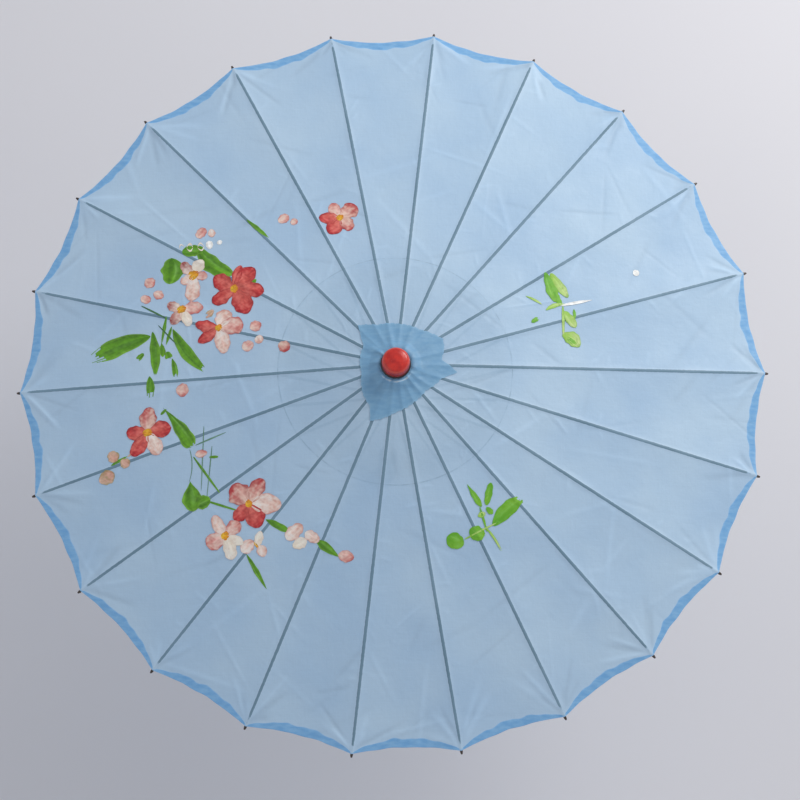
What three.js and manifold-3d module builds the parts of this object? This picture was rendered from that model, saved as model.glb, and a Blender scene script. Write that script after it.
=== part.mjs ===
// Hand-held parasol: turned wooden handle and finial, 22 bamboo ribs and 22 stretchers
// between a slotted top hub and a sliding runner, and a thin cloth canopy.
// Millimetres, +Z up the shaft, origin at the centre of the handle's bottom face.
import * as THREE from "three";
import { mergeVertices } from "three/addons/utils/BufferGeometryUtils.js";
import Module from "manifold-3d";

const wasm = await Module();
wasm.setup();

// ---- driving dimensions ----
const RIB_COUNT = 22;
const FIRST_RIB_DEG = 1.9; // azimuth of rib_01, from +X towards +Y
const RIB_SLOPE_DEG = 11; // droop of an open rib below the horizontal
const RIB_LENGTH = 403; // hub pivot to rib tip
const RIB_PIVOT_R = 14; // radius of the circle of rib pivots
const HUB_Z = 516; // height of the rib pivots
const JOINT_ALONG_RIB = 115; // hub pivot to stretcher joint, along the rib
const JOINT_BELOW_RIB = 3.4; // stretcher joint below the rib's centre line
const STRETCHER_LENGTH = 150; // joint to joint
const RUNNER_PIVOT_R = 13; // radius of the circle of stretcher pivots
const WIRE_R = 0.5;
const TONGUE_W = 1.9; // width of rib and stretcher ends inside the slots
const SLOT_W = 2.4;
const SHAFT_R = 5.5;
const BORE_R = 5.8;
const SHAFT_BOTTOM_Z = 12.3;
const SHAFT_TOP_Z = 530;
const GRIP_LENGTH = 105;
const FINIAL_TOP_Z = 540;
const FINIAL_R = 15;
const CLOTH_T = 0.6; // cloth solids
const CLOTH_GAP = 0.35;
const CLOTH_R = 406; // cloth edge at a rib
const SCALLOP = 6; // how far the hem is drawn in between two ribs
const CATCH_Z = 331; // height of the catch's pin

const RAD = Math.PI / 180;
const SLOPE = RIB_SLOPE_DEG * RAD;
const PITCH = (2 * Math.PI) / RIB_COUNT;
const FIRST_RIB = FIRST_RIB_DEG * RAD;
const HALF_RIB_H = 1.6;

// stretcher joint and runner pivot of the open linkage, as (radius, height)
const JOINT_R =
  RIB_PIVOT_R + JOINT_ALONG_RIB * Math.cos(SLOPE) - JOINT_BELOW_RIB * Math.sin(SLOPE);
const JOINT_Z = HUB_Z - JOINT_ALONG_RIB * Math.sin(SLOPE) - JOINT_BELOW_RIB * Math.cos(SLOPE);
const RUNNER_Z = JOINT_Z - Math.sqrt(STRETCHER_LENGTH ** 2 - (JOINT_R - RUNNER_PIVOT_R) ** 2);
const STRETCHER_DIP = Math.atan2(JOINT_Z - RUNNER_Z, JOINT_R - RUNNER_PIVOT_R);

// ---- materials ----
const finish = (color, roughness, metalness = 0) =>
  new THREE.MeshStandardMaterial({ color, roughness, metalness });
const cloth = finish(0xaccfe4, 0.4);
const clothDark = finish(0x7fb0da, 0.45);
const bamboo = finish(0xc9a56a, 0.55);
const turnedWood = finish(0x9a6a3c, 0.5);
const redLacquer = finish(0xd8402f, 0.3);
const wire = finish(0xb9bcc0, 0.3, 1);

// ---- solids ----
const toSolid = (geometry) => {
  const bare = geometry.clone();
  for (const name of Object.keys(bare.attributes)) {
    if (name !== "position") bare.deleteAttribute(name);
  }
  const merged = mergeVertices(bare, 1e-4);
  return new wasm.Manifold(
    new wasm.Mesh({
      numProp: 3,
      vertProperties: new Float32Array(merged.attributes.position.array),
      triVerts: new Uint32Array(merged.index.array),
    }),
  );
};

const toGeometry = (solid) => {
  const mesh = solid.getMesh();
  const geometry = new THREE.BufferGeometry();
  geometry.setAttribute("position", new THREE.BufferAttribute(mesh.vertProperties, 3));
  geometry.setIndex(new THREE.BufferAttribute(mesh.triVerts, 1));
  geometry.computeVertexNormals();
  return geometry;
};

/** Box between two corners. */
const box = (x0, y0, z0, x1, y1, z1) =>
  new THREE.BoxGeometry(x1 - x0, y1 - y0, z1 - z0).translate(
    (x0 + x1) / 2,
    (y0 + y1) / 2,
    (z0 + z1) / 2,
  );

/** Round bar along Y through (x, z). */
const barAlongY = (x, z, r, length, sides = 8) =>
  new THREE.CylinderGeometry(r, r, length, sides).translate(x, 0, z);

/** Solid of revolution about Z from (radius, height) points, closed on itself or on the axis. */
const lathe = (points, segments) => {
  const closed = points[0][0] > 1e-6;
  const ring = closed ? [...points, points[0]] : points;
  const geometry = new THREE.LatheGeometry(
    ring.map(([r, z]) => new THREE.Vector2(r, z)),
    segments,
    FIRST_RIB,
  );
  return geometry.rotateX(Math.PI / 2);
};

/** Bar along +X through rectangular sections [x, half width, half height]. */
const taperedBar = (sections) => {
  const position = [];
  const index = [];
  for (const [x, w, h] of sections) {
    position.push(x, -w, -h, x, w, -h, x, w, h, x, -w, h);
  }
  const last = (sections.length - 1) * 4;
  for (let s = 0; s < last; s += 4) {
    for (let k = 0; k < 4; k += 1) {
      const a = s + k;
      const b = s + ((k + 1) % 4);
      index.push(a, b, a + 4, b, b + 4, a + 4);
    }
  }
  index.push(0, 2, 1, 0, 3, 2, last, last + 1, last + 2, last, last + 2, last + 3);
  const geometry = new THREE.BufferGeometry();
  geometry.setAttribute("position", new THREE.Float32BufferAttribute(position, 3));
  geometry.setIndex(index);
  return geometry;
};

/** Thin closed shell from a top surface (azimuth, ring) -> [radius, height], hole in the middle. */
const shell = (rings, steps, surface, thickness) => {
  const position = [];
  const index = [];
  for (const drop of [0, thickness]) {
    for (let j = 0; j < rings; j += 1) {
      for (let i = 0; i < steps; i += 1) {
        const azimuth = FIRST_RIB + (i * 2 * Math.PI) / steps;
        const [r, z] = surface(azimuth - FIRST_RIB, j);
        position.push(r * Math.cos(azimuth), r * Math.sin(azimuth), z - drop);
      }
    }
  }
  const at = (side, j, i) => side * rings * steps + j * steps + (i % steps);
  const quad = (a, b, c, d) => index.push(a, b, c, a, c, d);
  for (let i = 0; i < steps; i += 1) {
    for (let j = 0; j + 1 < rings; j += 1) {
      quad(at(0, j, i), at(0, j + 1, i), at(0, j + 1, i + 1), at(0, j, i + 1));
      quad(at(1, j, i), at(1, j, i + 1), at(1, j + 1, i + 1), at(1, j + 1, i));
    }
    const rim = rings - 1;
    quad(at(0, rim, i), at(1, rim, i), at(1, rim, i + 1), at(0, rim, i + 1));
    quad(at(0, 0, i), at(0, 0, i + 1), at(1, 0, i + 1), at(1, 0, i));
  }
  const geometry = new THREE.BufferGeometry();
  geometry.setAttribute("position", new THREE.Float32BufferAttribute(position, 3));
  geometry.setIndex(index);
  geometry.computeVertexNormals();
  return geometry;
};

/** Height of the flat cloth panel between two open ribs, lift above the ribs' centre lines. */
const panelHeight = (angleFromRib, r, lift) => {
  const half = PITCH / 2;
  const inGore = angleFromRib - PITCH * Math.floor(angleFromRib / PITCH);
  const chord = (r * Math.cos(inGore - half)) / Math.cos(half);
  return HUB_Z + lift - (chord - RIB_PIVOT_R) * Math.tan(SLOPE);
};

// ---- rib and stretcher, made once along +X and copied round ----
const makeRib = () => {
  const half = TONGUE_W / 2;
  const bar = toSolid(
    taperedBar([
      [-1.5, half, 0.9],
      [0, half, 1.5],
      [9, half, 1.5],
      [13, 1.5, HALF_RIB_H],
      [100, 2, HALF_RIB_H],
      [392, 1.8, 1.3],
      [401, 1.4, 1],
      [RIB_LENGTH, 0.9, 0.6],
    ]),
  );
  const a = JOINT_ALONG_RIB;
  const d = JOINT_BELOW_RIB;
  const cheeks = toSolid(box(a - 3.5, -1.9, -d - 1.6, a + 3.5, 1.9, -1.2));
  const slot = toSolid(box(a - 4.5, -1.1, -d - 2.6, a + 4.5, 1.1, -1.75));
  const threadHole = toSolid(barAlongY(a, -d, 0.75, 8));
  const wireHole = toSolid(barAlongY(0, 0, 0.8, 6));
  return toGeometry(bar.add(cheeks).subtract(slot).subtract(threadHole).subtract(wireHole));
};

const makeStretcher = () => {
  const half = TONGUE_W / 2;
  const length = STRETCHER_LENGTH;
  const bar = toSolid(
    taperedBar([
      [-1.3, half - 0.1, 0.7],
      [0, half - 0.1, 1.3],
      [5.5, half - 0.1, 1.4],
      [9, 1.4, 1.5],
      [length - 12, 1.3, 1.45],
      [length - 7, half, 1.35],
      [length, half, 1.3],
      [length + 1.3, half, 0.7],
    ]),
  );
  const threadHole = toSolid(barAlongY(0, 0, 0.7, 6));
  const wireHole = toSolid(barAlongY(length, 0, 0.8, 6));
  return toGeometry(bar.subtract(threadHole).subtract(wireHole));
};

/** Turned block with one slot per rib, cut from profile; slots span heights z0 to z1. */
const slotted = (profile, innerR, z0, z1, atZ) => {
  let solid = toSolid(lathe(profile, RIB_COUNT * 2));
  for (let i = 0; i < RIB_COUNT; i += 1) {
    const cut = box(innerR, -SLOT_W / 2, z0, 22, SLOT_W / 2, z1);
    solid = solid.subtract(toSolid(cut.rotateZ(FIRST_RIB + i * PITCH)));
  }
  return toGeometry(solid).translate(0, 0, atZ);
};

// top hub: solid cap over the slots, groove for the wire, narrower neck below
const topHub = slotted(
  [
    [BORE_R, -16],
    [9.2, -16],
    [10.7, -13],
    [10.7, -4.6],
    [17.5, -4],
    [17.5, -0.9],
    [13.1, -0.9],
    [13.1, 0.9],
    [17.5, 0.9],
    [17.5, 3.4],
    [BORE_R, 3.4],
  ],
  11,
  -6,
  1.9,
  HUB_Z,
);

// runner: slotted flange at the top, open upwards, on a waisted sleeve
const runnerBlock = slotted(
  [
    [BORE_R + 0.1, -29],
    [10.4, -29],
    [10.4, -24],
    [8.6, -20],
    [8.6, -9],
    [16.6, -4.4],
    [16.6, -0.9],
    [12.1, -0.9],
    [12.1, 0.9],
    [16.6, 0.9],
    [16.6, 3],
    [10.7, 3.4],
    [BORE_R + 0.1, 3.4],
  ],
  10.9,
  -2,
  6,
  RUNNER_Z,
);

const ringWire = (radius, z) => {
  const wireRing = new THREE.TorusGeometry(radius, WIRE_R, 6, RIB_COUNT * 2);
  return wireRing.rotateZ(FIRST_RIB).translate(0, 0, z);
};

const grip = lathe(
  [
    [0, 0],
    [10.4, 0],
    [11.6, 1.2],
    [12.8, 9],
    [12.6, 20],
    [10.6, 48],
    [10.4, 66],
    [11.8, 88],
    [12, 95],
    [11, 101],
    [8.6, GRIP_LENGTH],
    [BORE_R, GRIP_LENGTH],
    [BORE_R, SHAFT_BOTTOM_Z - 0.3],
    [0, SHAFT_BOTTOM_Z - 0.3],
  ],
  24,
);

const finial = lathe(
  [
    [0, SHAFT_TOP_Z + 0.3],
    [BORE_R, SHAFT_TOP_Z + 0.3],
    [BORE_R, HUB_Z + 5.6],
    [FINIAL_R - 0.8, HUB_Z + 5.6],
    [FINIAL_R, HUB_Z + 6.4],
    [FINIAL_R, FINIAL_TOP_Z - 7.2],
    [14.2, FINIAL_TOP_Z - 4.4],
    [11.8, FINIAL_TOP_Z - 2],
    [7, FINIAL_TOP_Z - 0.5],
    [0, FINIAL_TOP_Z],
  ],
  24,
);

// shaft with the slot that holds the catch, on its -Y side
const shaft = (() => {
  const rod = toSolid(
    new THREE.CylinderGeometry(SHAFT_R, SHAFT_R, SHAFT_TOP_Z - SHAFT_BOTTOM_Z, 24)
      .rotateX(Math.PI / 2)
      .translate(0, 0, (SHAFT_TOP_Z + SHAFT_BOTTOM_Z) / 2),
  );
  const slot = toSolid(box(-1.2, -9, CATCH_Z - 4, 1.2, -0.9, CATCH_Z + 35));
  const pinHole = toSolid(
    new THREE.CylinderGeometry(0.9, 0.9, 14, 10).rotateZ(Math.PI / 2).translate(0, -3, CATCH_Z),
  );
  return toGeometry(rod.subtract(slot).subtract(pinHole));
})();

// catch: a leaf that leans out of the slot under the open runner, turning on a cross pin
const catchLeaf = (() => {
  const top = RUNNER_Z - 29.45 - CATCH_Z;
  const outline = new THREE.Shape(
    [
      [2.0, -1.6],
      [4.1, -1.2],
      [4.3, 2],
      [8.7, top - 2.4],
      [8.7, top],
      [6.6, top],
      [1.9, 2],
    ].map(([out, up]) => new THREE.Vector2(out, up)),
  );
  const leaf = new THREE.ExtrudeGeometry(outline, { depth: 1.6, bevelEnabled: false })
    .translate(0, 0, -0.8)
    .rotateX(Math.PI / 2)
    .rotateZ(-Math.PI / 2)
    .translate(0, 0, CATCH_Z);
  const pinHole = toSolid(
    new THREE.CylinderGeometry(0.8, 0.8, 6, 10).rotateZ(Math.PI / 2).translate(0, -3, CATCH_Z),
  );
  return toGeometry(toSolid(leaf).subtract(pinHole));
})();

const catchPin = new THREE.CylinderGeometry(0.55, 0.55, 8.4, 10)
  .rotateZ(Math.PI / 2)
  .translate(0, -3, CATCH_Z);

// ---- cloth ----
const RIB_TOP = HALF_RIB_H / Math.cos(SLOPE);
const CANOPY_TOP = RIB_TOP + CLOTH_GAP + CLOTH_T; // above the ribs' centre lines
const HUB_CLOTH_Z = HUB_Z + 3.4 + 0.3 + CLOTH_T;

const hemRadius = (angleFromRib) => {
  const part = angleFromRib / PITCH - Math.floor(angleFromRib / PITCH);
  const straight = (CLOTH_R * Math.cos(PITCH / 2)) / Math.cos((part - 0.5) * PITCH);
  return straight - SCALLOP * 4 * part * (1 - part);
};

const canopy = shell(
  6,
  RIB_COUNT * 2,
  (angle, ring) => {
    const radius = [7.6, 18.4, 27, 120, 300][ring] ?? hemRadius(angle);
    if (ring < 2) return [radius, HUB_CLOTH_Z];
    return [radius, panelHeight(angle, radius, CANOPY_TOP)];
  },
  CLOTH_T,
);

// doubled cloth round the finial: a square with drawn-out corners, laid on the canopy
const PATCH_CORNERS = [
  [54, 138],
  [66, 350],
  [67, 248],
  [46, 52],
];
const patchRadius = (angle) => {
  let r = 34;
  for (const [out, deg] of PATCH_CORNERS) {
    const turn = Math.cos(angle + FIRST_RIB - deg * RAD);
    if (turn > 0) r += (out - 34) * turn ** 6;
  }
  return r;
};

const collarPatch = shell(
  4,
  RIB_COUNT * 2,
  (angle, ring) => {
    const edge = patchRadius(angle);
    const radius = [7.6, 18.8, 28, edge][ring];
    if (ring < 2) return [radius, HUB_CLOTH_Z + CLOTH_GAP + CLOTH_T];
    return [radius, panelHeight(angle, radius, CANOPY_TOP + CLOTH_GAP + CLOTH_T + 0.1)];
  },
  CLOTH_T,
);

// ---- assembly ----
const umbrella = new THREE.Group();
const put = (name, geometry, material, parent = umbrella) => {
  const mesh = new THREE.Mesh(geometry, material);
  mesh.name = name;
  parent.add(mesh);
  return mesh;
};

put("shaft", shaft, bamboo);
put("handle_grip", grip, turnedWood);
put("finial", finial, redLacquer);
put("top_hub", topHub, turnedWood);
put("top_hub_wire", ringWire(RIB_PIVOT_R, HUB_Z), wire);
put("runner", runnerBlock, turnedWood);
put("runner_wire", ringWire(RUNNER_PIVOT_R, RUNNER_Z), wire);
put("catch_leaf", catchLeaf, wire);
put("catch_pin", catchPin, wire);
put("canopy", canopy, cloth);
put("collar_patch", collarPatch, clothDark);

const rib = makeRib();
const stretcher = makeStretcher();
for (let i = 0; i < RIB_COUNT; i += 1) {
  const number = String(i + 1).padStart(2, "0");
  const arm = new THREE.Group();
  arm.rotation.z = FIRST_RIB + i * PITCH;
  umbrella.add(arm);
  const ribMesh = put(`rib_${number}`, rib, bamboo, arm);
  ribMesh.position.set(RIB_PIVOT_R, 0, HUB_Z);
  ribMesh.rotation.y = SLOPE;
  const stretcherMesh = put(`stretcher_${number}`, stretcher, bamboo, arm);
  stretcherMesh.position.set(JOINT_R, 0, JOINT_Z);
  stretcherMesh.rotation.y = Math.PI - STRETCHER_DIP;
}

export default umbrella;
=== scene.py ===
import logging
import math
from dataclasses import dataclass, field
from enum import Enum

import bpy
import numpy as np
from mathutils import Matrix, Vector


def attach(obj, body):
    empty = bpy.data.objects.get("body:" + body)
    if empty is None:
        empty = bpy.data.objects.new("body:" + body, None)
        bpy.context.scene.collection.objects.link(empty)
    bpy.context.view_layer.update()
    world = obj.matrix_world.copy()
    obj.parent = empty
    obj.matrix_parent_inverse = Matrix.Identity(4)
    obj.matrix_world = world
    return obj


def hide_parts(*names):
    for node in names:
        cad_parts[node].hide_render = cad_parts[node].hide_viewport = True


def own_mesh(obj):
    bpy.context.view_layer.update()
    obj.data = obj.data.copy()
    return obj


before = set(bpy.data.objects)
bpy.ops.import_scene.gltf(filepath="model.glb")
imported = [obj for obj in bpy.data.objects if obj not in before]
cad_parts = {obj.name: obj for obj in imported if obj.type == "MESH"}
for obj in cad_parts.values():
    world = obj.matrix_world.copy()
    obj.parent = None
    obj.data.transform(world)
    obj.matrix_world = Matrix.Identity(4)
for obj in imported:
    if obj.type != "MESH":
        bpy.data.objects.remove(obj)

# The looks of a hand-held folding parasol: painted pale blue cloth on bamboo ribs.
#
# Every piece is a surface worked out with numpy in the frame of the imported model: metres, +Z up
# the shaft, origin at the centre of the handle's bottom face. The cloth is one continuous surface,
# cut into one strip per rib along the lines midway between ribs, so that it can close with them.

LOG = logging.getLogger("parasol")
MM = 0.001
STRIP_KEEP = 0.088  # share of a cloth strip's width, and of its paint's, left when closed
Colour = tuple[float, float, float]


def screen(red: int, green: int, blue: int) -> Colour:
    """Linear colour from 8-bit screen values: each divided by 255, raised to the power 2.2."""
    return ((red / 255) ** 2.2, (green / 255) ** 2.2, (blue / 255) ** 2.2)


def smooth_step(low: float, high: float, value: np.ndarray) -> np.ndarray:
    """Rises from 0 to 1 between low and high as 3t squared minus 2t cubed."""
    t = np.clip((value - low) / (high - low), 0.0, 1.0)
    return t * t * (3.0 - 2.0 * t)


def soft_square(angle: np.ndarray, power: float = 0.55) -> tuple[np.ndarray, np.ndarray]:
    """Cosine and sine with their signs kept and sizes raised to a power: a circle made squarer."""
    c, s = np.cos(angle), np.sin(angle)
    return np.sign(c) * np.abs(c) ** power, np.sign(s) * np.abs(s) ** power


# ------------------------------------------------------------------ linkage


@dataclass(frozen=True)
class Linkage:
    """Where the ribs, joints and runner lie when the parasol is open, in metres and radians."""

    count: int = 22
    first: float = math.radians(1.9)
    slope: float = math.radians(11.0)
    hub_r: float = 0.014
    hub_z: float = 0.516
    joint_along: float = 0.115
    joint_below: float = 0.0034
    stretcher_length: float = 0.150
    runner_r: float = 0.013
    lead: str = "runner_slide"

    @property
    def pitch(self) -> float:
        """Angle between neighbouring ribs."""
        return 2.0 * math.pi / self.count

    @property
    def half(self) -> float:
        """Angle from a rib to the middle of a gore."""
        return math.pi / self.count

    @property
    def joint_r(self) -> float:
        """Radius of the circle of stretcher joints."""
        return (self.hub_r + self.joint_along * math.cos(self.slope)
                - self.joint_below * math.sin(self.slope))

    @property
    def joint_z(self) -> float:
        """Height of the stretcher joints."""
        return (self.hub_z - self.joint_along * math.sin(self.slope)
                - self.joint_below * math.cos(self.slope))

    @property
    def runner_z(self) -> float:
        """Height of the stretchers' pivots on the runner."""
        reach = self.joint_r - self.runner_r
        return self.joint_z - math.sqrt(self.stretcher_length**2 - reach**2)

    def azimuth(self, index: int) -> float:
        """Azimuth of a rib, from +X towards +Y."""
        return self.first + index * self.pitch

    def out(self, index: int) -> np.ndarray:
        """Unit vector from the shaft along a rib's azimuth."""
        a = self.azimuth(index)
        return np.array([math.cos(a), math.sin(a), 0.0])

    def across(self, index: int) -> np.ndarray:
        """Unit vector across a rib, level."""
        a = self.azimuth(index)
        return np.array([-math.sin(a), math.cos(a), 0.0])

    def ahead(self, index: int) -> np.ndarray:
        """Unit vector along a rib, out and down its slope."""
        return self.out(index) * math.cos(self.slope) - np.array([0, 0, math.sin(self.slope)])

    def at(self, index: int, radius: float, height: float) -> np.ndarray:
        """A point on a rib's azimuth."""
        return self.out(index) * radius + np.array([0, 0, height])

    def pin(self, index: int) -> np.ndarray:
        """Where a rib turns on the hub's wire."""
        return self.at(index, self.hub_r, self.hub_z)

    def elbow(self, index: int) -> np.ndarray:
        """Where a stretcher turns on its rib."""
        return self.at(index, self.joint_r, self.joint_z)

    def fold(self, piece: bpy.types.Object, index: int, anchor: np.ndarray,
             keep: float) -> None:
        """Makes a soft piece ride on its rib, with a mesh of its own.

        Args:
            piece: the piece.
            index: its rib.
            anchor: the point it would narrow towards; not used.
            keep: the share of its width that would be left when closed; not used.
        """
        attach(piece, f"rib_{index + 1:02d}")
        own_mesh(piece)


LINK = Linkage()


# ------------------------------------------------------------------ mesh making


@dataclass
class Surface:
    """A grid of points with its map and its zone colours, and the quads between them.

    Attributes:
        points: (n, m, 3) positions.
        plan: (n, m, 2) map coordinates.
        zones: (n, m, 4) values kept on the points for the finish to read.
        quads: (q, 4) point numbers, row by row.
    """

    points: np.ndarray
    plan: np.ndarray
    zones: np.ndarray
    quads: np.ndarray

    @staticmethod
    def grid(points: np.ndarray, plan: np.ndarray | None = None,
             zones: np.ndarray | None = None, wrap_rows: bool = False,
             wrap_columns: bool = False) -> "Surface":
        """Joins every point (i, j) to (i, j+1), (i+1, j+1) and (i+1, j).

        Args:
            points: (n, m, 3) positions.
            plan: map coordinates, or None for the grid's own numbers.
            zones: point values, or None for zeros.
            wrap_rows: joins the last row to the first.
            wrap_columns: joins the last column to the first.

        Returns:
            The surface.
        """
        n, m = points.shape[:2]
        if plan is None:
            plan = np.stack(np.meshgrid(np.arange(n) / n, np.arange(m) / m, indexing="ij"), -1)
        if zones is None:
            zones = np.zeros((n, m, 4))
        i, j = np.meshgrid(np.arange(n if wrap_rows else n - 1),
                           np.arange(m if wrap_columns else m - 1), indexing="ij")
        i2, j2 = (i + 1) % n, (j + 1) % m
        quads = np.stack([i * m + j, i * m + j2, i2 * m + j2, i2 * m + j], -1).reshape(-1, 4)
        return Surface(points, plan, zones, quads)

    @staticmethod
    def sheet(x: np.ndarray, y: np.ndarray, z: np.ndarray, zones: np.ndarray,
              plan: np.ndarray | None = None) -> "Surface":
        """A grid that faces up where its rows run outwards and its columns anticlockwise.

        Args:
            x: positions along X, (n, m).
            y: positions along Y.
            z: heights.
            zones: point values.
            plan: map coordinates, or None for x and y themselves.

        Returns:
            The surface.
        """
        plan = np.stack([x, y], -1) if plan is None else plan
        return Surface.grid(np.stack([x, y, z], -1)[:, ::-1], plan[:, ::-1], zones[:, ::-1])

    @staticmethod
    def tube(rings: np.ndarray, plan: np.ndarray | None = None,
             zones: np.ndarray | None = None, ring_path: bool = False) -> "Surface":
        """A closed skin over rings of points, its two ends shut by rows of quads.

        Args:
            rings: (n, m, 3) positions, m even, each row one ring.
            plan: map coordinates.
            zones: point values.
            ring_path: joins the last ring to the first, so that there are no ends.

        Returns:
            The surface, its faces pointing outwards.
        """
        made = Surface.grid(rings, plan, zones, wrap_rows=ring_path, wrap_columns=True)
        n, m = rings.shape[:2]
        if not ring_path:
            k = np.arange(m // 2 - 1)
            cap = np.stack([k, k + 1, m - 2 - k, m - 1 - k], -1)
            made.quads = np.concatenate([made.quads, cap[:, ::-1], cap + (n - 1) * m])
        flat = made.points.reshape(-1, 3)
        a, b, c, d = (flat[made.quads[:, k]] - flat.mean(0) for k in range(4))
        volume = (a * np.cross(b, c)).sum() + (a * np.cross(c, d)).sum()
        if volume < 0:
            made.quads = made.quads[:, ::-1]
        return made


def build(name: str, surfaces: list[Surface], finish: bpy.types.Material,
          smooth_angle: float | None = 40.0) -> bpy.types.Object:
    """One object at the origin from one or more surfaces, with map "plan" and attribute "zones".

    Args:
        name: the piece's name.
        surfaces: what it is made of.
        finish: its material.
        smooth_angle: edges sharper than this, in degrees, stay crisp; None leaves all smooth.

    Returns:
        The object, linked to the scene.
    """
    start = np.cumsum([0] + [s.points.shape[0] * s.points.shape[1] for s in surfaces])
    points = np.concatenate([s.points.reshape(-1, 3) for s in surfaces])
    plan = np.concatenate([s.plan.reshape(-1, 2) for s in surfaces])
    zones = np.concatenate([s.zones.reshape(-1, 4) for s in surfaces])
    quads = np.concatenate([s.quads + start[k] for k, s in enumerate(surfaces)])
    used = np.unique(quads)
    if len(used) < len(points):
        renumber = np.zeros(len(points), int)
        renumber[used] = np.arange(len(used))
        points, plan, zones, quads = points[used], plan[used], zones[used], renumber[quads]
    mesh = bpy.data.meshes.new(name)
    mesh.vertices.add(len(points))
    mesh.vertices.foreach_set("co", points.astype(np.float32).ravel())
    mesh.loops.add(quads.size)
    mesh.loops.foreach_set("vertex_index", quads.astype(np.int32).ravel())
    mesh.polygons.add(len(quads))
    mesh.polygons.foreach_set("loop_start", np.arange(0, quads.size, 4, dtype=np.int32))
    layer = mesh.uv_layers.new(name="plan")
    layer.data.foreach_set("uv", plan[quads.ravel()].astype(np.float32).ravel())
    attribute = mesh.attributes.new("zones", "FLOAT_COLOR", "POINT")
    attribute.data.foreach_set("color", zones.astype(np.float32).ravel())
    mesh.update(calc_edges=True)
    mesh.shade_smooth()
    if smooth_angle is not None:
        mesh.set_sharp_from_angle(angle=math.radians(smooth_angle))
    mesh.materials.append(finish)
    piece = bpy.data.objects.new(name, mesh)
    bpy.context.scene.collection.objects.link(piece)
    return piece


def revolve(profile: list[tuple[float, float]], around: int = 64,
            closed: bool = False) -> Surface:
    """A profile of (radius, height) in millimetres carried round Z: x = r cos a, y = r sin a.

    Args:
        profile: its points; on an open profile the two ends lie on or near the axis.
        around: steps round.
        closed: the profile closes on itself, as on a piece with a bore.

    Returns:
        The surface.
    """
    rz = np.array(profile) * MM
    rz[:, 0] = np.maximum(rz[:, 0], 2e-5)
    a = np.arange(around) * 2 * math.pi / around
    rings = np.stack([rz[:, :1] * np.cos(a), rz[:, :1] * np.sin(a),
                      np.repeat(rz[:, 1:], around, 1)], -1)
    run = np.concatenate([[0], np.cumsum(np.hypot(*np.diff(rz, axis=0).T))])
    plan = np.stack([np.repeat(run[:, None], around, 1),
                     np.repeat(a[None, :] / (2 * math.pi), len(rz), 0)], -1)
    return Surface.tube(rings, plan, ring_path=closed)


def rounded(points: list[tuple[float, float]], radius: float = 0.6,
            steps: int = 4, closed: bool = False) -> list[tuple[float, float]]:
    """Turns each corner of a profile into a small arc, a quadratic curve through its two tangents.

    Args:
        points: corners, in millimetres.
        radius: how far from the corner the arc starts, at most.
        steps: points on each arc.
        closed: rounds the first and last corners too.

    Returns:
        The finer profile.
    """
    p = np.array(points, float)
    result: list[tuple[float, float]] = []
    for k in range(len(p)):
        if not closed and k in (0, len(p) - 1):
            result.append(tuple(p[k]))
            continue
        before, corner, after = p[k - 1], p[k], p[(k + 1) % len(p)]
        one, two = before - corner, after - corner
        reach = min(radius, 0.45 * np.hypot(*one), 0.45 * np.hypot(*two))
        a, b = corner + one / np.hypot(*one) * reach, corner + two / np.hypot(*two) * reach
        t = np.linspace(0, 1, steps)[:, None]
        arc = (1 - t) ** 2 * a + 2 * t * (1 - t) * corner + t**2 * b
        result += [tuple(q) for q in arc]
    return result


# ------------------------------------------------------------------ finishes


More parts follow.
